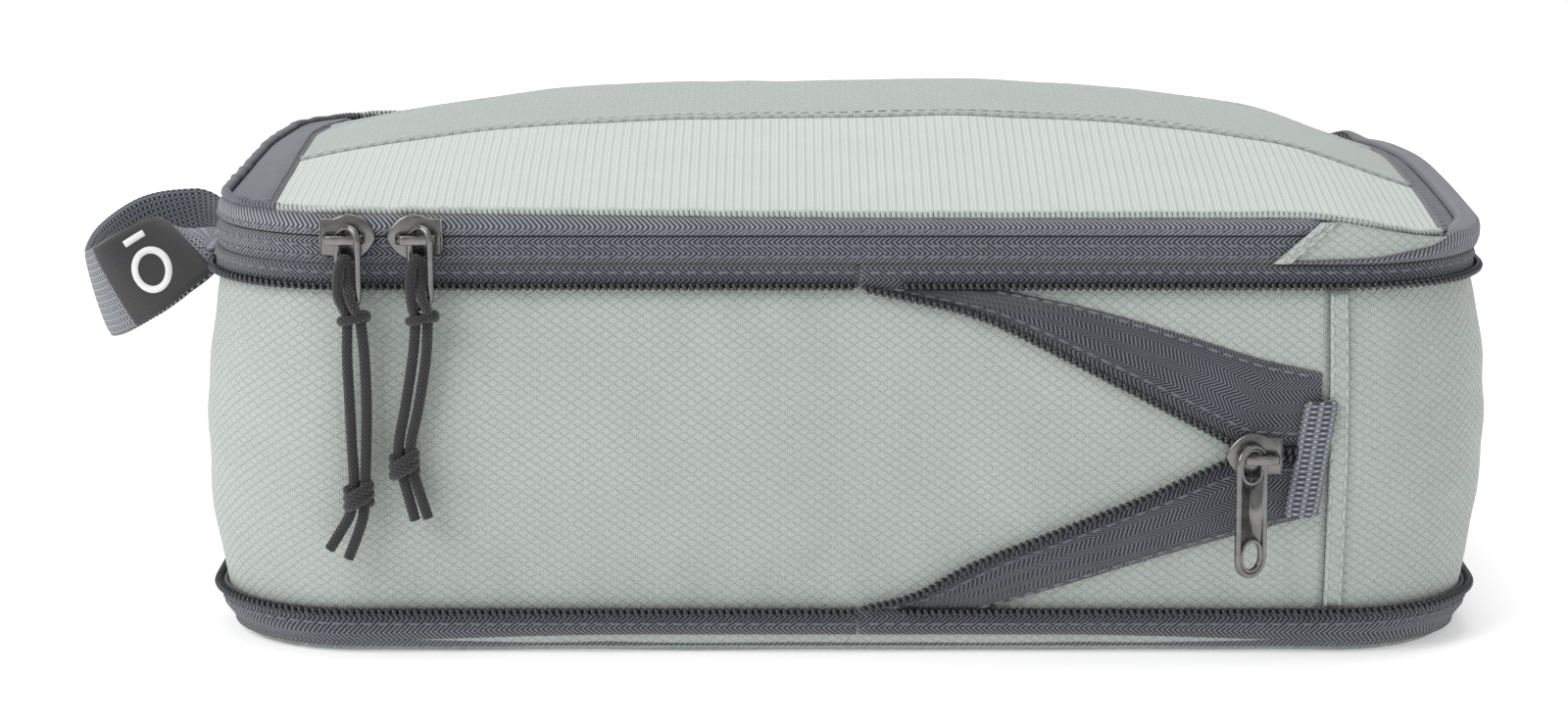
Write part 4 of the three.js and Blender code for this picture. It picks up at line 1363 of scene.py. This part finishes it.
for part, start, end, thread, slot in (
    ("front", front_at(OVERLOCK_END), front_at(-FREE_HEM), sage_thread, "pale_mesh"),
    ("free_end", front_at(-FREE_HEM), back_at(-FREE_HEM), slate_thread, "slate_tape"),
    ("back", back_at(-FREE_HEM), back_at(OVERLOCK_END), sage_thread, "pale_mesh"),
):
    edge_line = lid_edge_line(start, end)
    overlock = coil(
        f"lid_{part}_overlock", edge_line, (0, 0), (0.7 * MM, 0.6 * MM), 0.34 * MM, 1.05 * MM,
        thread, sides=5, steps=8,
    )
    place(overlock, "lid", slot)
    print("lid's", part, "edge is", round(lengths_along(edge_line[0])[-1], 3), "m long")

# %% [markdown]
# ## The hinge end
# Past the end of the zip the lid stays joined to the rim. A sage gusset closes the gap
# between them, with a slanting hem where it laps over the zip's end, and a thick herringbone
# binding wraps the join and climbs over the lid's end. The gusset stays with the rim. The
# binding crosses the hinge, so its top turns with the lid, and a short web of the same tape
# behind it stretches between rim and lid, so that no gap opens at the corners.

# %% Gusset and its hem
GUSSET_FOOT = 79.7 * MM
HEM_START, HEM_END = 84.5 * MM, 93.8 * MM
HEM_TOP, HEM_WIDTH = 87.9 * MM, 3.4 * MM
UNDER_LID = 0.3 * MM


def gusset_top(x, y):
    """The gusset's top edge: up the slanting hem, then along under the lid's edge."""
    climbed = np.clip((x - HEM_START) / (HEM_END - HEM_START), 0, 1)
    hem = GUSSET_FOOT + (HEM_TOP - GUSSET_FOOT) * climbed
    return np.minimum(hem, edge_height(x, y) + UNDER_LID)


def over_tapes(distances, heights, proud):
    """Points just outside the zip tapes, lightly uneven as cloth is."""
    origin, out = outline(distances)
    points = origin + UP * heights[..., None]
    wave = 0.35 * MM * unevenness(points, 9 * MM, 31)
    return points + out * (proud + wave)[..., None], out


gusset_run = np.linspace(back_at(HEM_START), PERIMETER + front_at(HEM_START), 190)
there = outline(gusset_run)[0]
share = np.linspace(0, 1, 9)[None, :]
deep = gusset_top(there[:, 0], there[:, 1]) - GUSSET_FOOT
height = GUSSET_FOOT + deep[:, None] * share
run = np.broadcast_to(gusset_run[:, None], height.shape)
outer, _ = over_tapes(run, height, 1.45 * MM)
inner, _ = over_tapes(run, height, 0.85 * MM)
cloth = np.stack([run, height], axis=-1)
gusset = sheet("hinge_end_gusset", outer, inner, cloth, ripstop)
place(gusset, "rim", "sage_ripstop", "end_cap_panel")

for end, side, distance_at in (
    ("front", -1, lambda x: PERIMETER + front_at(x)),
    ("back", 1, back_at),
):
    up = np.linspace(0, 1, 24)[:, None]
    over = np.linspace(0, HEM_WIDTH, 6)[None, :]
    x = HEM_START - 0.4 * MM + (HEM_END - HEM_START) * up + over
    z = GUSSET_FOOT + (HEM_TOP - GUSSET_FOOT) * up + 0 * over
    z = np.minimum(z, edge_height(x, side * HALF_WIDTH) + UNDER_LID)
    cloth = np.stack([x, z], axis=-1)
    rounded = np.array([0.2, 1, 1, 1, 1, 0.5]) * 0.5 * MM
    face, _ = over_tapes(distance_at(x), z, 1.5 * MM + rounded)
    under, _ = over_tapes(distance_at(x), z, np.full(x.shape, 1.2 * MM))
    hem = sheet(f"gusset_{end}_hem", face, under, cloth, band_cloth)
    place(hem, "rim", "sage_ripstop")
    for which, inset in (("near", 0.9 * MM), ("far", 2.8 * MM)):
        x_line = x[:, 0] + inset
        points, outs = over_tapes(distance_at(x_line), z[:, 0], 2.0 * MM)
        row = stitch_row(f"gusset_{end}_stitches_{which}", points, outs, sage_thread, 1.7 * MM)
        place(row, "rim", "sage_ripstop")
print("gusset runs", round(gusset_run[-1] - gusset_run[0], 3), "m round the hinge end")

# %% Hinge binding and its web
HINGE = next(j for j in frame["joints"] if j["name"] == "lid_hinge")
BINDING_FOOT, BINDING_START = 79.6 * MM, 88 * MM
WEB_FOOT, WEB_START = 80.2 * MM, 121 * MM


def hinge_end_from(x):
    """A line round the hinge end that starts and stops at x."""
    return round_the_case(back_at(x), PERIMETER + front_at(x), 1.5 * MM)


def binding_section(x, y):
    """The binding is low beside the gusset's hem, and climbs over the lid at the end."""
    rising = np.interp(x / MM, (88, 105, 115, 121), (80.3, 80.9, 82.2, 84.6)) * MM
    roll = smooth_share(x, 117 * MM, 125 * MM)
    top = rising * (1 - roll) + (edge_height(x, y) + 1.5 * MM) * roll
    width = top - BINDING_FOOT

    def at(out, share, extra=0.0):
        return out * MM, BINDING_FOOT + width * share + extra * MM

    return [
        at(1.5, 0), at(1.8, 0.1), at(2.3, 0.4), at(2.35, 0.7), at(2.1, 0.9), at(1.6, 1, -0.05),
        at(1.5 - 1.9 * roll, 1, 0.1 + 0.45 * roll), at(1.45 - 3.2 * roll, 1, 0.6 * roll),
        at(1.4 - 4.4 * roll, 1, -0.1 + 0.2 * roll), at(1.35 - 4.3 * roll, 1, -0.4 - 0.3 * roll),
        at(1.3 - 2.6 * roll, 0.93, -0.2 * roll), at(1.3 - 1 * roll, 0.75), at(1.25, 0.4),
        at(1.2, 0),
    ]


binding_line = hinge_end_from(BINDING_START)
sections = np.array([binding_section(x, y) for x, y in binding_line[0][:, :2]])
binding = sweep("hinge_end_binding", binding_line, sections, herringbone)
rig.slot(binding, "slate_tape")
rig.replaces(binding, "hinge_binding")
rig.blend(binding, "rim", "lid", (0, 0, 83 * MM), (0, 0, 90 * MM))

web_line = hinge_end_from(WEB_START)
web_top = edge_height(web_line[0][:, 0], web_line[0][:, 1]) + 0.15 * MM
web_sections = []
for top in web_top:
    rows = np.linspace(WEB_FOOT, top, 8)
    lean = np.linspace(0, 1.6 * MM, 8)
    outside = list(zip(-0.9 * MM - lean, rows))
    web_sections.append(outside + [(out - 0.5 * MM, z) for out, z in reversed(outside)])
web = sweep("hinge_corner_web", web_line, np.array(web_sections), herringbone)
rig.slot(web, "slate_tape")
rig.blend(web, "rim", "lid", (0, 0, 80.6 * MM), (0, 0, 82.6 * MM))

# %% Hems across the lid's two ends
for end, near, far, nodes in (
    ("hinged", HINGED_HEM, DOME_LENGTH - 0.4 * MM, ["lid_hinge_hem"]),
    ("free", -FREE_HEM, 0.2 * MM - DOME_LENGTH, []),
):
    hem_x = np.linspace(near, far, 8)[None, :]
    hem_y = np.linspace(-1, 1, 90)[:, None] * lid_half_width(hem_x) * 0.995
    hem_x = np.broadcast_to(hem_x, hem_y.shape)
    raised = np.array([0.1, 0.9, 1, 1, 1, 1, 1, 0.6]) * 0.7 * MM
    outer = dome_point(hem_x, hem_y) + UP * raised[None, :, None]
    inner = dome_point(hem_x, hem_y) + UP * 0.02 * MM
    hem = sheet(f"lid_{end}_hem", outer, inner, np.stack([hem_y, hem_x], axis=-1), herringbone)
    place(hem, "lid", "slate_tape", *nodes)
    line_x = np.full(120, near + math.copysign(1.2 * MM, far - near))
    line = dome_point(line_x, np.linspace(-0.96, 0.96, 120) * lid_half_width(line_x))
    upright = np.broadcast_to(UP, line.shape)
    row = stitch_row(f"lid_{end}_hem_stitches", line + UP * 0.7 * MM, upright, slate_thread)
    place(row, "lid", "slate_tape")
print("lid hinge turns through", HINGE["range_deg"], "degrees")

# %% [markdown]
# ## Inside and underneath
# The floor is a single ripstop panel, a little uneven because soft things rest on it. Where
# it meets the walls, and where the walls meet the rim, the raw edges are bound with tape on
# the inside. Nobody sees these with the case shut, but they show when the lid is up.

# %% Floor and inner bindings
FLOOR_THICKNESS, FLOOR_INSET = 0.9 * MM, 3.4 * MM
floor_length, floor_width = HALF_LENGTH - FLOOR_INSET, HALF_WIDTH - FLOOR_INSET
floor_x = floor_length * np.sin(np.linspace(-math.pi / 2, math.pi / 2, 90))[:, None]
floor_y = half_width_at(floor_x, FLOOR_INSET) * np.linspace(-1, 1, 60)[None, :]
floor_x = np.broadcast_to(floor_x, floor_y.shape)
flat = np.stack([floor_x, floor_y, np.zeros_like(floor_x)], axis=-1)
waves = 0.25 * MM + 0.25 * MM * unevenness(flat, 26 * MM, 17)
under = flat + UP * waves[..., None]
floor_panel = sheet(
    "ripstop_floor", under + UP * FLOOR_THICKNESS, under, np.stack([floor_x, floor_y], -1), ripstop
)
place(floor_panel, "base", "sage_ripstop", "floor_panel")

whole_loop = round_the_case(0, PERIMETER * (1 - 1e-3), 2.5 * MM)
EDGE_ROLL = [
    (0.15, 8), (0.3, 6.6), (0.15, 4.6), (-0.7, 2.7), (-2.1, 1.2), (-4.2, 0.35), (-5.6, 0.25),
    (-5.4, 1), (-3.6, 1.4), (-2, 2.6), (-0.95, 4.8), (-0.7, 6.6), (-0.7, 8),
]
roll = one_for_each(whole_loop, EDGE_ROLL)
low = ((7 * MM - roll[..., 1]) / (7 * MM)).clip(0)
lift = smooth_share(np.abs(whole_loop[0][:, 0]), 50 * MM, 125 * MM)[:, None]
ruck = unevenness(whole_loop[0], 19 * MM, 41)[:, None]
roll[..., 1] += low * (1.6 * MM * lift + 0.55 * MM * ruck.clip(-0.3))
roll[..., 0] += low * 0.9 * MM * ruck
floor_edge = sweep("floor_turned_up_edge", whole_loop, roll, ripstop, closed=True)
place(floor_edge, "base", "sage_ripstop")
for which, body, foot, head in (
    ("floor", "base", 1.6 * MM, 8 * MM),
    ("rim", "rim", 71 * MM, 79.2 * MM),
):
    outside, inside = -1.1 * MM, -2 * MM
    section = [
        (outside, foot), (outside, head), ((outside + inside) / 2, head + 0.3 * MM),
        (inside, head), (inside - 0.2 * MM, (foot + head) / 2), (inside, foot),
    ]
    bound = sweep(f"{which}_inner_binding", whole_loop, section, herringbone, closed=True)
    place(bound, body, "slate_tape", f"{which}_seam_binding")
print("floor is", round(2 * floor_length, 3), "by", round(2 * floor_width, 3), "m")

# %% [markdown]
# ## Sliders and pulls
# Each slider is two stamped plates on a post, with a bridge over the front plate that holds
# the pull. Stamped metal has no sharp edges, so plates are built as a stack of outlines,
# pulled in a little at the first and last, and bars are round-cornered sections swept along
# a bent line. They are made in the slider's own flat frame and then stood up on the front.

# %% Stamped shapes


def shield(scale):
    """A slider plate's outline: square tail, swelling to a round nose."""
    top = [(-5.6, 3.7), (-4.2, 3.72), (-2.9, 3.8), (-2, 4.15), (-1, 4.5), (0.3, 4.62)]
    top += [(1.6, 4.4), (2.9, 3.75), (4, 2.8), (4.9, 1.7), (5.4, 0.8), (5.6, 0)]
    route = smooth_line([(x, y, 0) for x, y in top], 0.35)[:, :2]
    mirror = route[-2::-1] * np.array([1, -1])
    return np.vstack([route, mirror]) * scale * MM


def slot_outline(half_width, top, bottom, steps=14):
    turn = np.linspace(0, math.pi, steps)
    arc = np.stack([np.cos(turn), np.sin(turn)], axis=1) * half_width
    upper = arc + np.array([0, top - half_width])
    lower = -arc + np.array([0, bottom + half_width])
    return np.vstack([upper, lower]) * MM


def pulled_in(outline_points, inset):
    """The outline moved inwards by inset, along its own normals."""
    ahead = np.roll(outline_points, -1, axis=0) - np.roll(outline_points, 1, axis=0)
    normal = np.stack([ahead[:, 1], -ahead[:, 0]], axis=1)
    normal /= np.linalg.norm(normal, axis=1)[:, None]
    middle = outline_points.mean(axis=0)
    if np.sum(normal * (outline_points - middle)) < 0:
        normal = -normal
    return outline_points - normal * inset


def stamped(name, outline_points, levels, material, turn_and_shift):
    """A plate built of the outline at several levels of (inset, height)."""
    rings = [
        np.column_stack([pulled_in(outline_points, inset), np.full(len(outline_points), level)])
        for inset, level in levels
    ]
    sides = len(outline_points)
    points = turn_and_shift(np.vstack(rings))
    faces, cloth = [], []
    for ring in range(len(levels) - 1):
        for j in range(sides):
            a, b = ring * sides + j, ring * sides + (j + 1) % sides
            faces.append((a, b, b + sides, a + sides))
    faces += [tuple(range(sides)), tuple(range(len(points) - sides, len(points)))]
    flat_points = np.vstack(rings)
    for face in faces:
        cloth += [tuple(flat_points[corner, :2]) for corner in face]
    return solid(name, points, faces, cloth, material)


def rounded_bar(half_width, half_height, corner, steps=4):
    """A round-cornered section for a swept bar."""
    section = []
    for quarter in range(4):
        for step in range(steps):
            turn = (quarter + step / (steps - 1)) * math.pi / 2
            sign_x = 1 if quarter in (0, 3) else -1
            sign_y = 1 if quarter in (0, 1) else -1
            section.append(
                (
                    sign_x * (half_width - corner) + corner * math.cos(turn),
                    sign_y * (half_height - corner) + corner * math.sin(turn),
                )
            )
    return section


def standing(x, z, proud, nose_right=True, pull_turn=None):
    """Turns points of a slider's flat frame, or of its pull's, to where they stand."""
    facing = 1 if nose_right else -1

    def move(points):
        points = np.asarray(points, float)
        local = points.copy()
        if pull_turn is None:
            local[:, 0] *= facing
            local[:, 1] *= facing
        else:
            angle, shift_x, shift_out = pull_turn
            cos, sin = math.cos(angle), math.sin(angle)
            local[:, 0] = points[:, 0] * cos + points[:, 2] * sin + shift_x
            local[:, 2] = points[:, 2] * cos - points[:, 0] * sin + shift_out
        return np.stack([local[:, 0] + x, -local[:, 2] - HALF_WIDTH - proud, local[:, 1] + z], 1)

    return move


def moved_line(move, points, out, up):
    """A line of (origin, out, up) for sweep(), where move puts it."""
    origin = move(np.zeros((1, 3)))
    return move(points), move(out) - origin, move(up) - origin


def moved_outline(move, flat):
    """The same from a closed flat outline."""
    points = np.column_stack([flat, np.zeros(len(flat))])
    ahead = np.roll(points, -1, axis=0) - np.roll(points, 1, axis=0)
    ahead /= np.linalg.norm(ahead, axis=1)[:, None]
    side = np.cross(ahead, (0, 0, 1))
    return moved_line(move, points, side, np.tile((0, 0, 1.0), (len(side), 1)))


# %% The three sliders
# x and z are the slider's place, proud and lift its distance off the front, and inner the
# level of its back plate, all in mm
SLIDERS = {
    "left": dict(x=-98.4, z=85, proud=0, nose_right=True, lift=0, inner=-3.5, body="rim"),
    "right": dict(
        x=-85.2, z=85, proud=0, nose_right=False, lift=0, inner=-3.5, body="right_slider"
    ),
    "compression": dict(
        x=80.4, z=42.3, proud=4, nose_right=False, lift=2.5, inner=-1.2, body="closure"
    ),
}
for name, slider in SLIDERS.items():
    move = standing(slider["x"] * MM, slider["z"] * MM, slider["proud"] * MM, slider["nose_right"])
    lift = slider["lift"]

    def levels(*pairs):
        return [(inset * MM, (level + lift) * MM) for inset, level in pairs]

    front_plate = stamped(
        f"{name}_front_plate",
        shield(1),
        levels((0.3, 0.7), (0.05, 0.8), (0, 1), (0.05, 1.25), (0.2, 1.45), (0.45, 1.52)),
        plated.material,
        move,
    )
    inner = slider["inner"]
    back_plate = stamped(
        f"{name}_back_plate",
        shield(0.72),
        levels((0.2, inner), (0, inner + 0.15), (0, inner + 0.4), (0.2, inner + 0.6)),
        plated.material,
        move,
    )
    nose = slot_outline(0.55, 0.9, -0.9) + np.array([2.6 * MM, 0])
    post = stamped(
        f"{name}_post", nose, levels((0, inner + 0.3), (0, 0.9)), plated.material, move
    )
    body = joined(f"{name}_slider_plates", [front_plate, back_plate, post])
    place(body, slider["body"], "gunmetal", f"{name}_slider_body")

    bend = [(-4.15, 1.7), (-4.2, 4.2), (-3.95, 5.15), (-3.2, 5.62), (-1, 5.72), (1.6, 5.68)]
    bend += [(2.5, 5.3), (3.05, 4.5), (3.15, 3), (3.15, 1.7)]
    route = smooth_line([(x, 0, z + lift) for x, z in bend], 0.2) * MM
    forward = np.gradient(route, axis=0)
    forward /= np.linalg.norm(forward, axis=1)[:, None]
    across = np.broadcast_to([0.0, 1.0, 0.0], route.shape)
    outward = np.cross(across, forward)
    section = rounded_bar(0.92 * MM, 0.47 * MM, 0.3 * MM)
    line = moved_line(move, route, across, outward)
    bridge = sweep(f"{name}_bridge_bar", line, section, plated.material)
    place(bridge, slider["body"], "gunmetal", f"{name}_slider_bridge")
print(len(SLIDERS), "sliders are stamped")

# %% Rings and the flat puller
PULL_TURN = math.radians(-37)
# how far each pull's turning line stands off its slider's middle, in mm like the plates
PULL_STAND_OFF = 5.7
for name, shift in (("left", 0.4), ("right", 1.4)):
    slider = SLIDERS[name]
    ring_turn = (PULL_TURN, shift * MM, PULL_STAND_OFF * MM)
    move = standing(slider["x"] * MM, slider["z"] * MM, 0, pull_turn=ring_turn)
    line = moved_outline(move, slot_outline(2.7, 2.5, -13.3, 24))
    turn = np.arange(14) * 2 * math.pi / 14
    section = np.stack([np.cos(turn), np.sin(turn)], axis=1) * 0.66 * MM
    ring = sweep(f"{name}_wire_ring", line, section, plated.material, closed=True)
    place(ring, f"{name}_pull", "gunmetal", f"{name}_pull_ring")

slider = SLIDERS["compression"]
puller_turn = (-PULL_TURN, -0.9 * MM, (PULL_STAND_OFF + slider["lift"]) * MM)
move = standing(slider["x"] * MM, slider["z"] * MM, slider["proud"] * MM, pull_turn=puller_turn)


def raised_rim(name, outline_points, half_width, half_height):
    """A rounded rim round an opening or an edge of the puller."""
    corner = min(half_width, half_height) * 0.8 * MM
    section = rounded_bar(half_width * MM, half_height * MM, corner)
    line = moved_outline(move, outline_points)
    return sweep(name, line, section, plated.material, closed=True)


rim = raised_rim("puller_rim", slot_outline(3.45, 2.75, -23.05, 20), 0.55, 0.6)
window_rim = raised_rim("puller_window_rim", slot_outline(2.55, -16.1, -22.2, 16), 0.4, 0.52)
eye_rim = raised_rim("puller_eye_rim", slot_outline(2.85, 2.1, -4.6, 16), 0.35, 0.5)
# the face fills the puller between its eye and its window, in mm from the turning line
FACE_HALF_WIDTH, FACE_TOP, FACE_FOOT = 3.3, -1.9, -18.6
arc = np.linspace(0, math.pi, 13)
eye_arc = np.column_stack([2.8 * np.cos(arc), FACE_TOP - 2.8 * np.sin(arc)])
window_arc = np.column_stack([-2.5 * np.cos(arc), -18.55 + 2.5 * np.sin(arc)])
plate_outline = np.vstack(
    [
        [(FACE_HALF_WIDTH, FACE_TOP)], eye_arc, [(-FACE_HALF_WIDTH, FACE_TOP)],
        [(-FACE_HALF_WIDTH, FACE_FOOT)], window_arc, [(FACE_HALF_WIDTH, FACE_FOOT)],
    ]
)
face_plate = stamped(
    "puller_face",
    plate_outline * MM,
    [(0.0, -0.32 * MM), (0.0, 0.32 * MM)],
    plated.material,
    move,
)
puller = joined("stamped_puller", [rim, window_rim, eye_rim, face_plate])
place(puller, "puller", "gunmetal", "compression_puller")
print("puller is", round(max(puller.dimensions) / MM, 1), "mm across its longest side")

# %% [markdown]
# ## Webbing
# The grab loop and the parking tab are cut from the same speckled webbing. The loop springs
# flat from the rim, droops and turns on edge, so its width is given its own direction at each
# point of its line. A woven label is folded round its near side, with a plain ring and a bar
# woven in white as its mark.

# %% Grab loop
LOOP_POINTS = [
    (-129, -48, 78), (-132, -48.2, 77.9), (-139, -52.5, 75.4), (-147, -52, 70.5),
    (-154, -44, 66), (-157.5, -32, 64.6), (-156, -19, 67.6), (-149, -9, 72.4),
    (-139, -4.2, 76.6), (-132, -2.4, 77.9), (-129, -2.4, 78),
]
LOOP_LEAN = [
    (0, 1, 0), (-0.1, 0.97, 0.2), (-0.4, 0.5, 0.75), (-0.5, 0.1, 0.85), (-0.35, 0.02, 0.92),
    (-0.25, 0, 0.97), (-0.25, -0.05, 0.97), (-0.3, -0.3, 0.9), (-0.2, -0.75, 0.6),
    (-0.05, -0.98, 0.15), (0, -1, 0),
]
LOOP_HALF_WIDTH, LOOP_CURL = 9.5 * MM, 0.5 * MM


def curve_at(points, shares):
    """Points on a smooth curve through points, at shares from 0 to 1 of its stations."""
    points = np.asarray(points, float)
    padded = with_ends(points)
    place_on = np.clip(shares, 0, 1) * (len(points) - 1)
    start = np.minimum(place_on.astype(int), len(points) - 2)
    t = (place_on - start)[:, None]
    return between(*(padded[start + k] for k in range(4)), t)


def loop_frame(shares):
    middle = curve_at(LOOP_POINTS, shares) * MM
    ahead = curve_at(LOOP_POINTS, shares + 1e-3) - curve_at(LOOP_POINTS, shares - 1e-3)
    ahead /= np.linalg.norm(ahead, axis=1)[:, None]
    across = curve_at(LOOP_LEAN, shares)
    across -= ahead * np.sum(across * ahead, axis=1)[:, None]
    across /= np.linalg.norm(across, axis=1)[:, None]
    return middle, across, np.cross(ahead, across)


def strap_section(half_width, back, front, curl):
    """A flat section with soft edges that curls a little across its width."""
    share = np.linspace(-1, 1, 15)
    bend = curl * share**2
    edge = 1 - 0.55 * share**8
    middle, half = (back + front) / 2, (front - back) / 2
    upper = np.column_stack([share * half_width, middle + half * edge + bend])
    lower = np.column_stack([share * half_width, middle - half * edge + bend])
    return np.vstack([upper, lower[::-1]])


stations = np.linspace(0, 1, 110)
strap = strap_section(LOOP_HALF_WIDTH, -0.6 * MM, 0.6 * MM, LOOP_CURL)
grab = sweep("webbing_grab_loop", loop_frame(stations), strap, webbing.material)
place(grab, "handle", "slate_tape", "grab_loop")

# %% Woven label and its mark
LABEL_HALF_WIDTH, LABEL_FACE = 9.2 * MM, 1.6 * MM
label_stations = np.linspace(0.155, 0.345, 36)
label_strap = strap_section(LABEL_HALF_WIDTH, -LABEL_FACE, -0.95 * MM, LOOP_CURL)
woven_label = sweep("woven_label", loop_frame(label_stations), label_strap, woven.material)
place(woven_label, "handle", "black_label", "size_label")


def on_label(plan, proud):
    """Points in front of the label from (distance along in stations, distance across)."""
    middle, across, out = loop_frame(plan[:, 0])
    curl = LOOP_CURL * (plan[:, 1] / LABEL_HALF_WIDTH) ** 2
    points = middle + across * plan[:, 1:2] + out * (curl - LABEL_FACE - proud)[:, None]
    return points, across, out


turn = np.linspace(0, 2 * math.pi, 49)[:-1]
ring_plan = np.column_stack([0.247 + 0.034 * np.cos(turn), -1.2 * MM + 4.1 * MM * np.sin(turn)])
bar_plan = np.column_stack([np.linspace(0.225, 0.27, 14), np.full(14, 6.4 * MM)])
marks = []
for name, plan, closed in (("ring", ring_plan, True), ("bar", bar_plan, False)):
    points, across, out = on_label(plan, 0.05 * MM)
    ahead = np.gradient(points, axis=0)
    if closed:
        ahead = np.roll(points, -1, axis=0) - np.roll(points, 1, axis=0)
    side = np.cross(ahead, out)
    side /= np.linalg.norm(side, axis=1)[:, None]
    flat = [(-0.75, 0), (-0.7, -0.14), (0.7, -0.14), (0.75, 0), (0.7, 0.1), (-0.7, 0.1)]
    line = (points, side, out)
    marks.append(sweep(f"label_{name}", line, np.array(flat) * MM, white_thread, closed))
mark = joined("label_mark", marks)
place(mark, "handle", "black_label")
print("grab loop is", round(lengths_along(loop_frame(stations)[0])[-1], 3), "m of webbing")

# %% Parking tab
TAB_LEFT, TAB_RIGHT = 88.6 * MM, 95.3 * MM
TAB_FOOT, TAB_HEAD = 29.5 * MM, 53 * MM
# the middle of the strip's thickness stands this far off the front, in mm
TAB_PROUD = 5.3
# its head leans this much towards the hinge end, for each unit of its height
TAB_LEAN = 0.16


def tab_section(scale, hollow):
    """A folded strip seen from its end: round at the fold, flatter where it is sewn down."""
    turn = np.linspace(0, 2 * math.pi, 25)[:-1]
    middle = (TAB_LEFT + TAB_RIGHT) / 2
    half = (TAB_RIGHT - TAB_LEFT) / 2 * scale
    x = middle + half * np.cos(turn)
    fat = 1.75 - 0.45 * np.cos(turn)
    proud = TAB_PROUD + np.sign(np.sin(turn)) * np.abs(np.sin(turn)) ** 0.7 * fat * scale
    inside = 1 - hollow
    out = TAB_PROUD * MM + (proud - TAB_PROUD) * inside * MM
    return np.column_stack([-(middle + (x - middle) * inside), out])


# (height, scale, hollow): the strip is open at both ends, so its lips turn back inside
tab_rows = [
    (TAB_FOOT + 5 * MM, 0.9, 0.45), (TAB_FOOT + 0.6 * MM, 0.9, 0.4),
    (TAB_FOOT + 0.1 * MM, 0.9, 0.22), (TAB_FOOT + 0.2 * MM, 0.92, 0.02),
    (TAB_FOOT + 1.2 * MM, 0.97, 0), (TAB_FOOT + 3 * MM, 1, 0), (TAB_FOOT + 8 * MM, 1, 0),
    (TAB_FOOT + 13 * MM, 0.98, 0), (TAB_HEAD - 6 * MM, 1, 0), (TAB_HEAD - 0.6 * MM, 0.98, 0),
    (TAB_HEAD, 0.95, 0.2), (TAB_HEAD - 1 * MM, 0.9, 0.45), (TAB_HEAD - 6 * MM, 0.9, 0.5),
]
lean = [TAB_LEAN * (row[0] - (TAB_FOOT + TAB_HEAD) / 2) for row in tab_rows]
tab_line = np.array([(over, -HALF_WIDTH, row[0]) for over, row in zip(lean, tab_rows)])
tab_out = np.tile((-1.0, 0, 0), (len(tab_rows), 1))
tab_up = np.tile((0, -1.0, 0), (len(tab_rows), 1))
tab_sections = np.array([tab_section(row[1], row[2]) for row in tab_rows])
tab = sweep("folded_parking_tab", (tab_line, tab_out, tab_up), tab_sections, webbing.material)
place(tab, "closure", "slate_tape", "parking_tab")
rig.squash(tab, "compress", axis=(0, 0, 1), anchor=(0, 0, 42.3 * MM), keep=0.5)
print("parking tab is", round((TAB_HEAD - TAB_FOOT) / MM, 1), "mm long")

# %% [markdown]
# ## The cloth's cut sizes
# The walls, the lid's panels and the floor are plain sheets of cloth. Each one's map gives
# its length and width before sewing, and half its surface is its area, which has to agree
# with that cut. A little is added to the width where the stuffing has stretched it.


def cut_size(piece):
    """(width, length) and the area of a thin closed sheet, from its map and its faces."""
    layer = piece.data.uv_layers["cloth"].data
    places = np.zeros(len(layer) * 2)
    layer.foreach_get("uv", places)
    length, width = np.ptp(places.reshape(-1, 2), axis=0)
    area = sum(face.area for face in piece.data.polygons) / 2
    width *= max(1, area / (length * width))
    return (float(width), float(length)), float(area)


for name, held, rests_on in (
    ("main_ripstop_wall", "stretched", ["lower_compression_herringbone"]),
    ("hinge_end_ripstop_wall", "stretched", ["lower_compression_herringbone"]),
    ("front_mesh_panel", "stretched", ["lid_zip_herringbone"]),
    ("closed_band_panel", "stretched", ["lid_zip_herringbone"]),
    ("back_mesh_panel", "stretched", ["lid_zip_herringbone"]),
    ("ripstop_floor", "laid", []),
):
    piece = bpy.data.objects[name]
    flat, area = cut_size(piece)
    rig.sheet(piece, flat=flat, held=held, rests_on=rests_on, area=area)
    print(name, "is cut", round(flat[0], 4), "by", round(flat[1], 4), "m, area", round(area, 4))

# %% Finish
visual_box = [list(corner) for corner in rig.bounds()]
with open("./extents.json", "w") as out_file:
    json.dump({"cad": cad_box, "visual": visual_box}, out_file)
print("box of the visual model", visual_box)
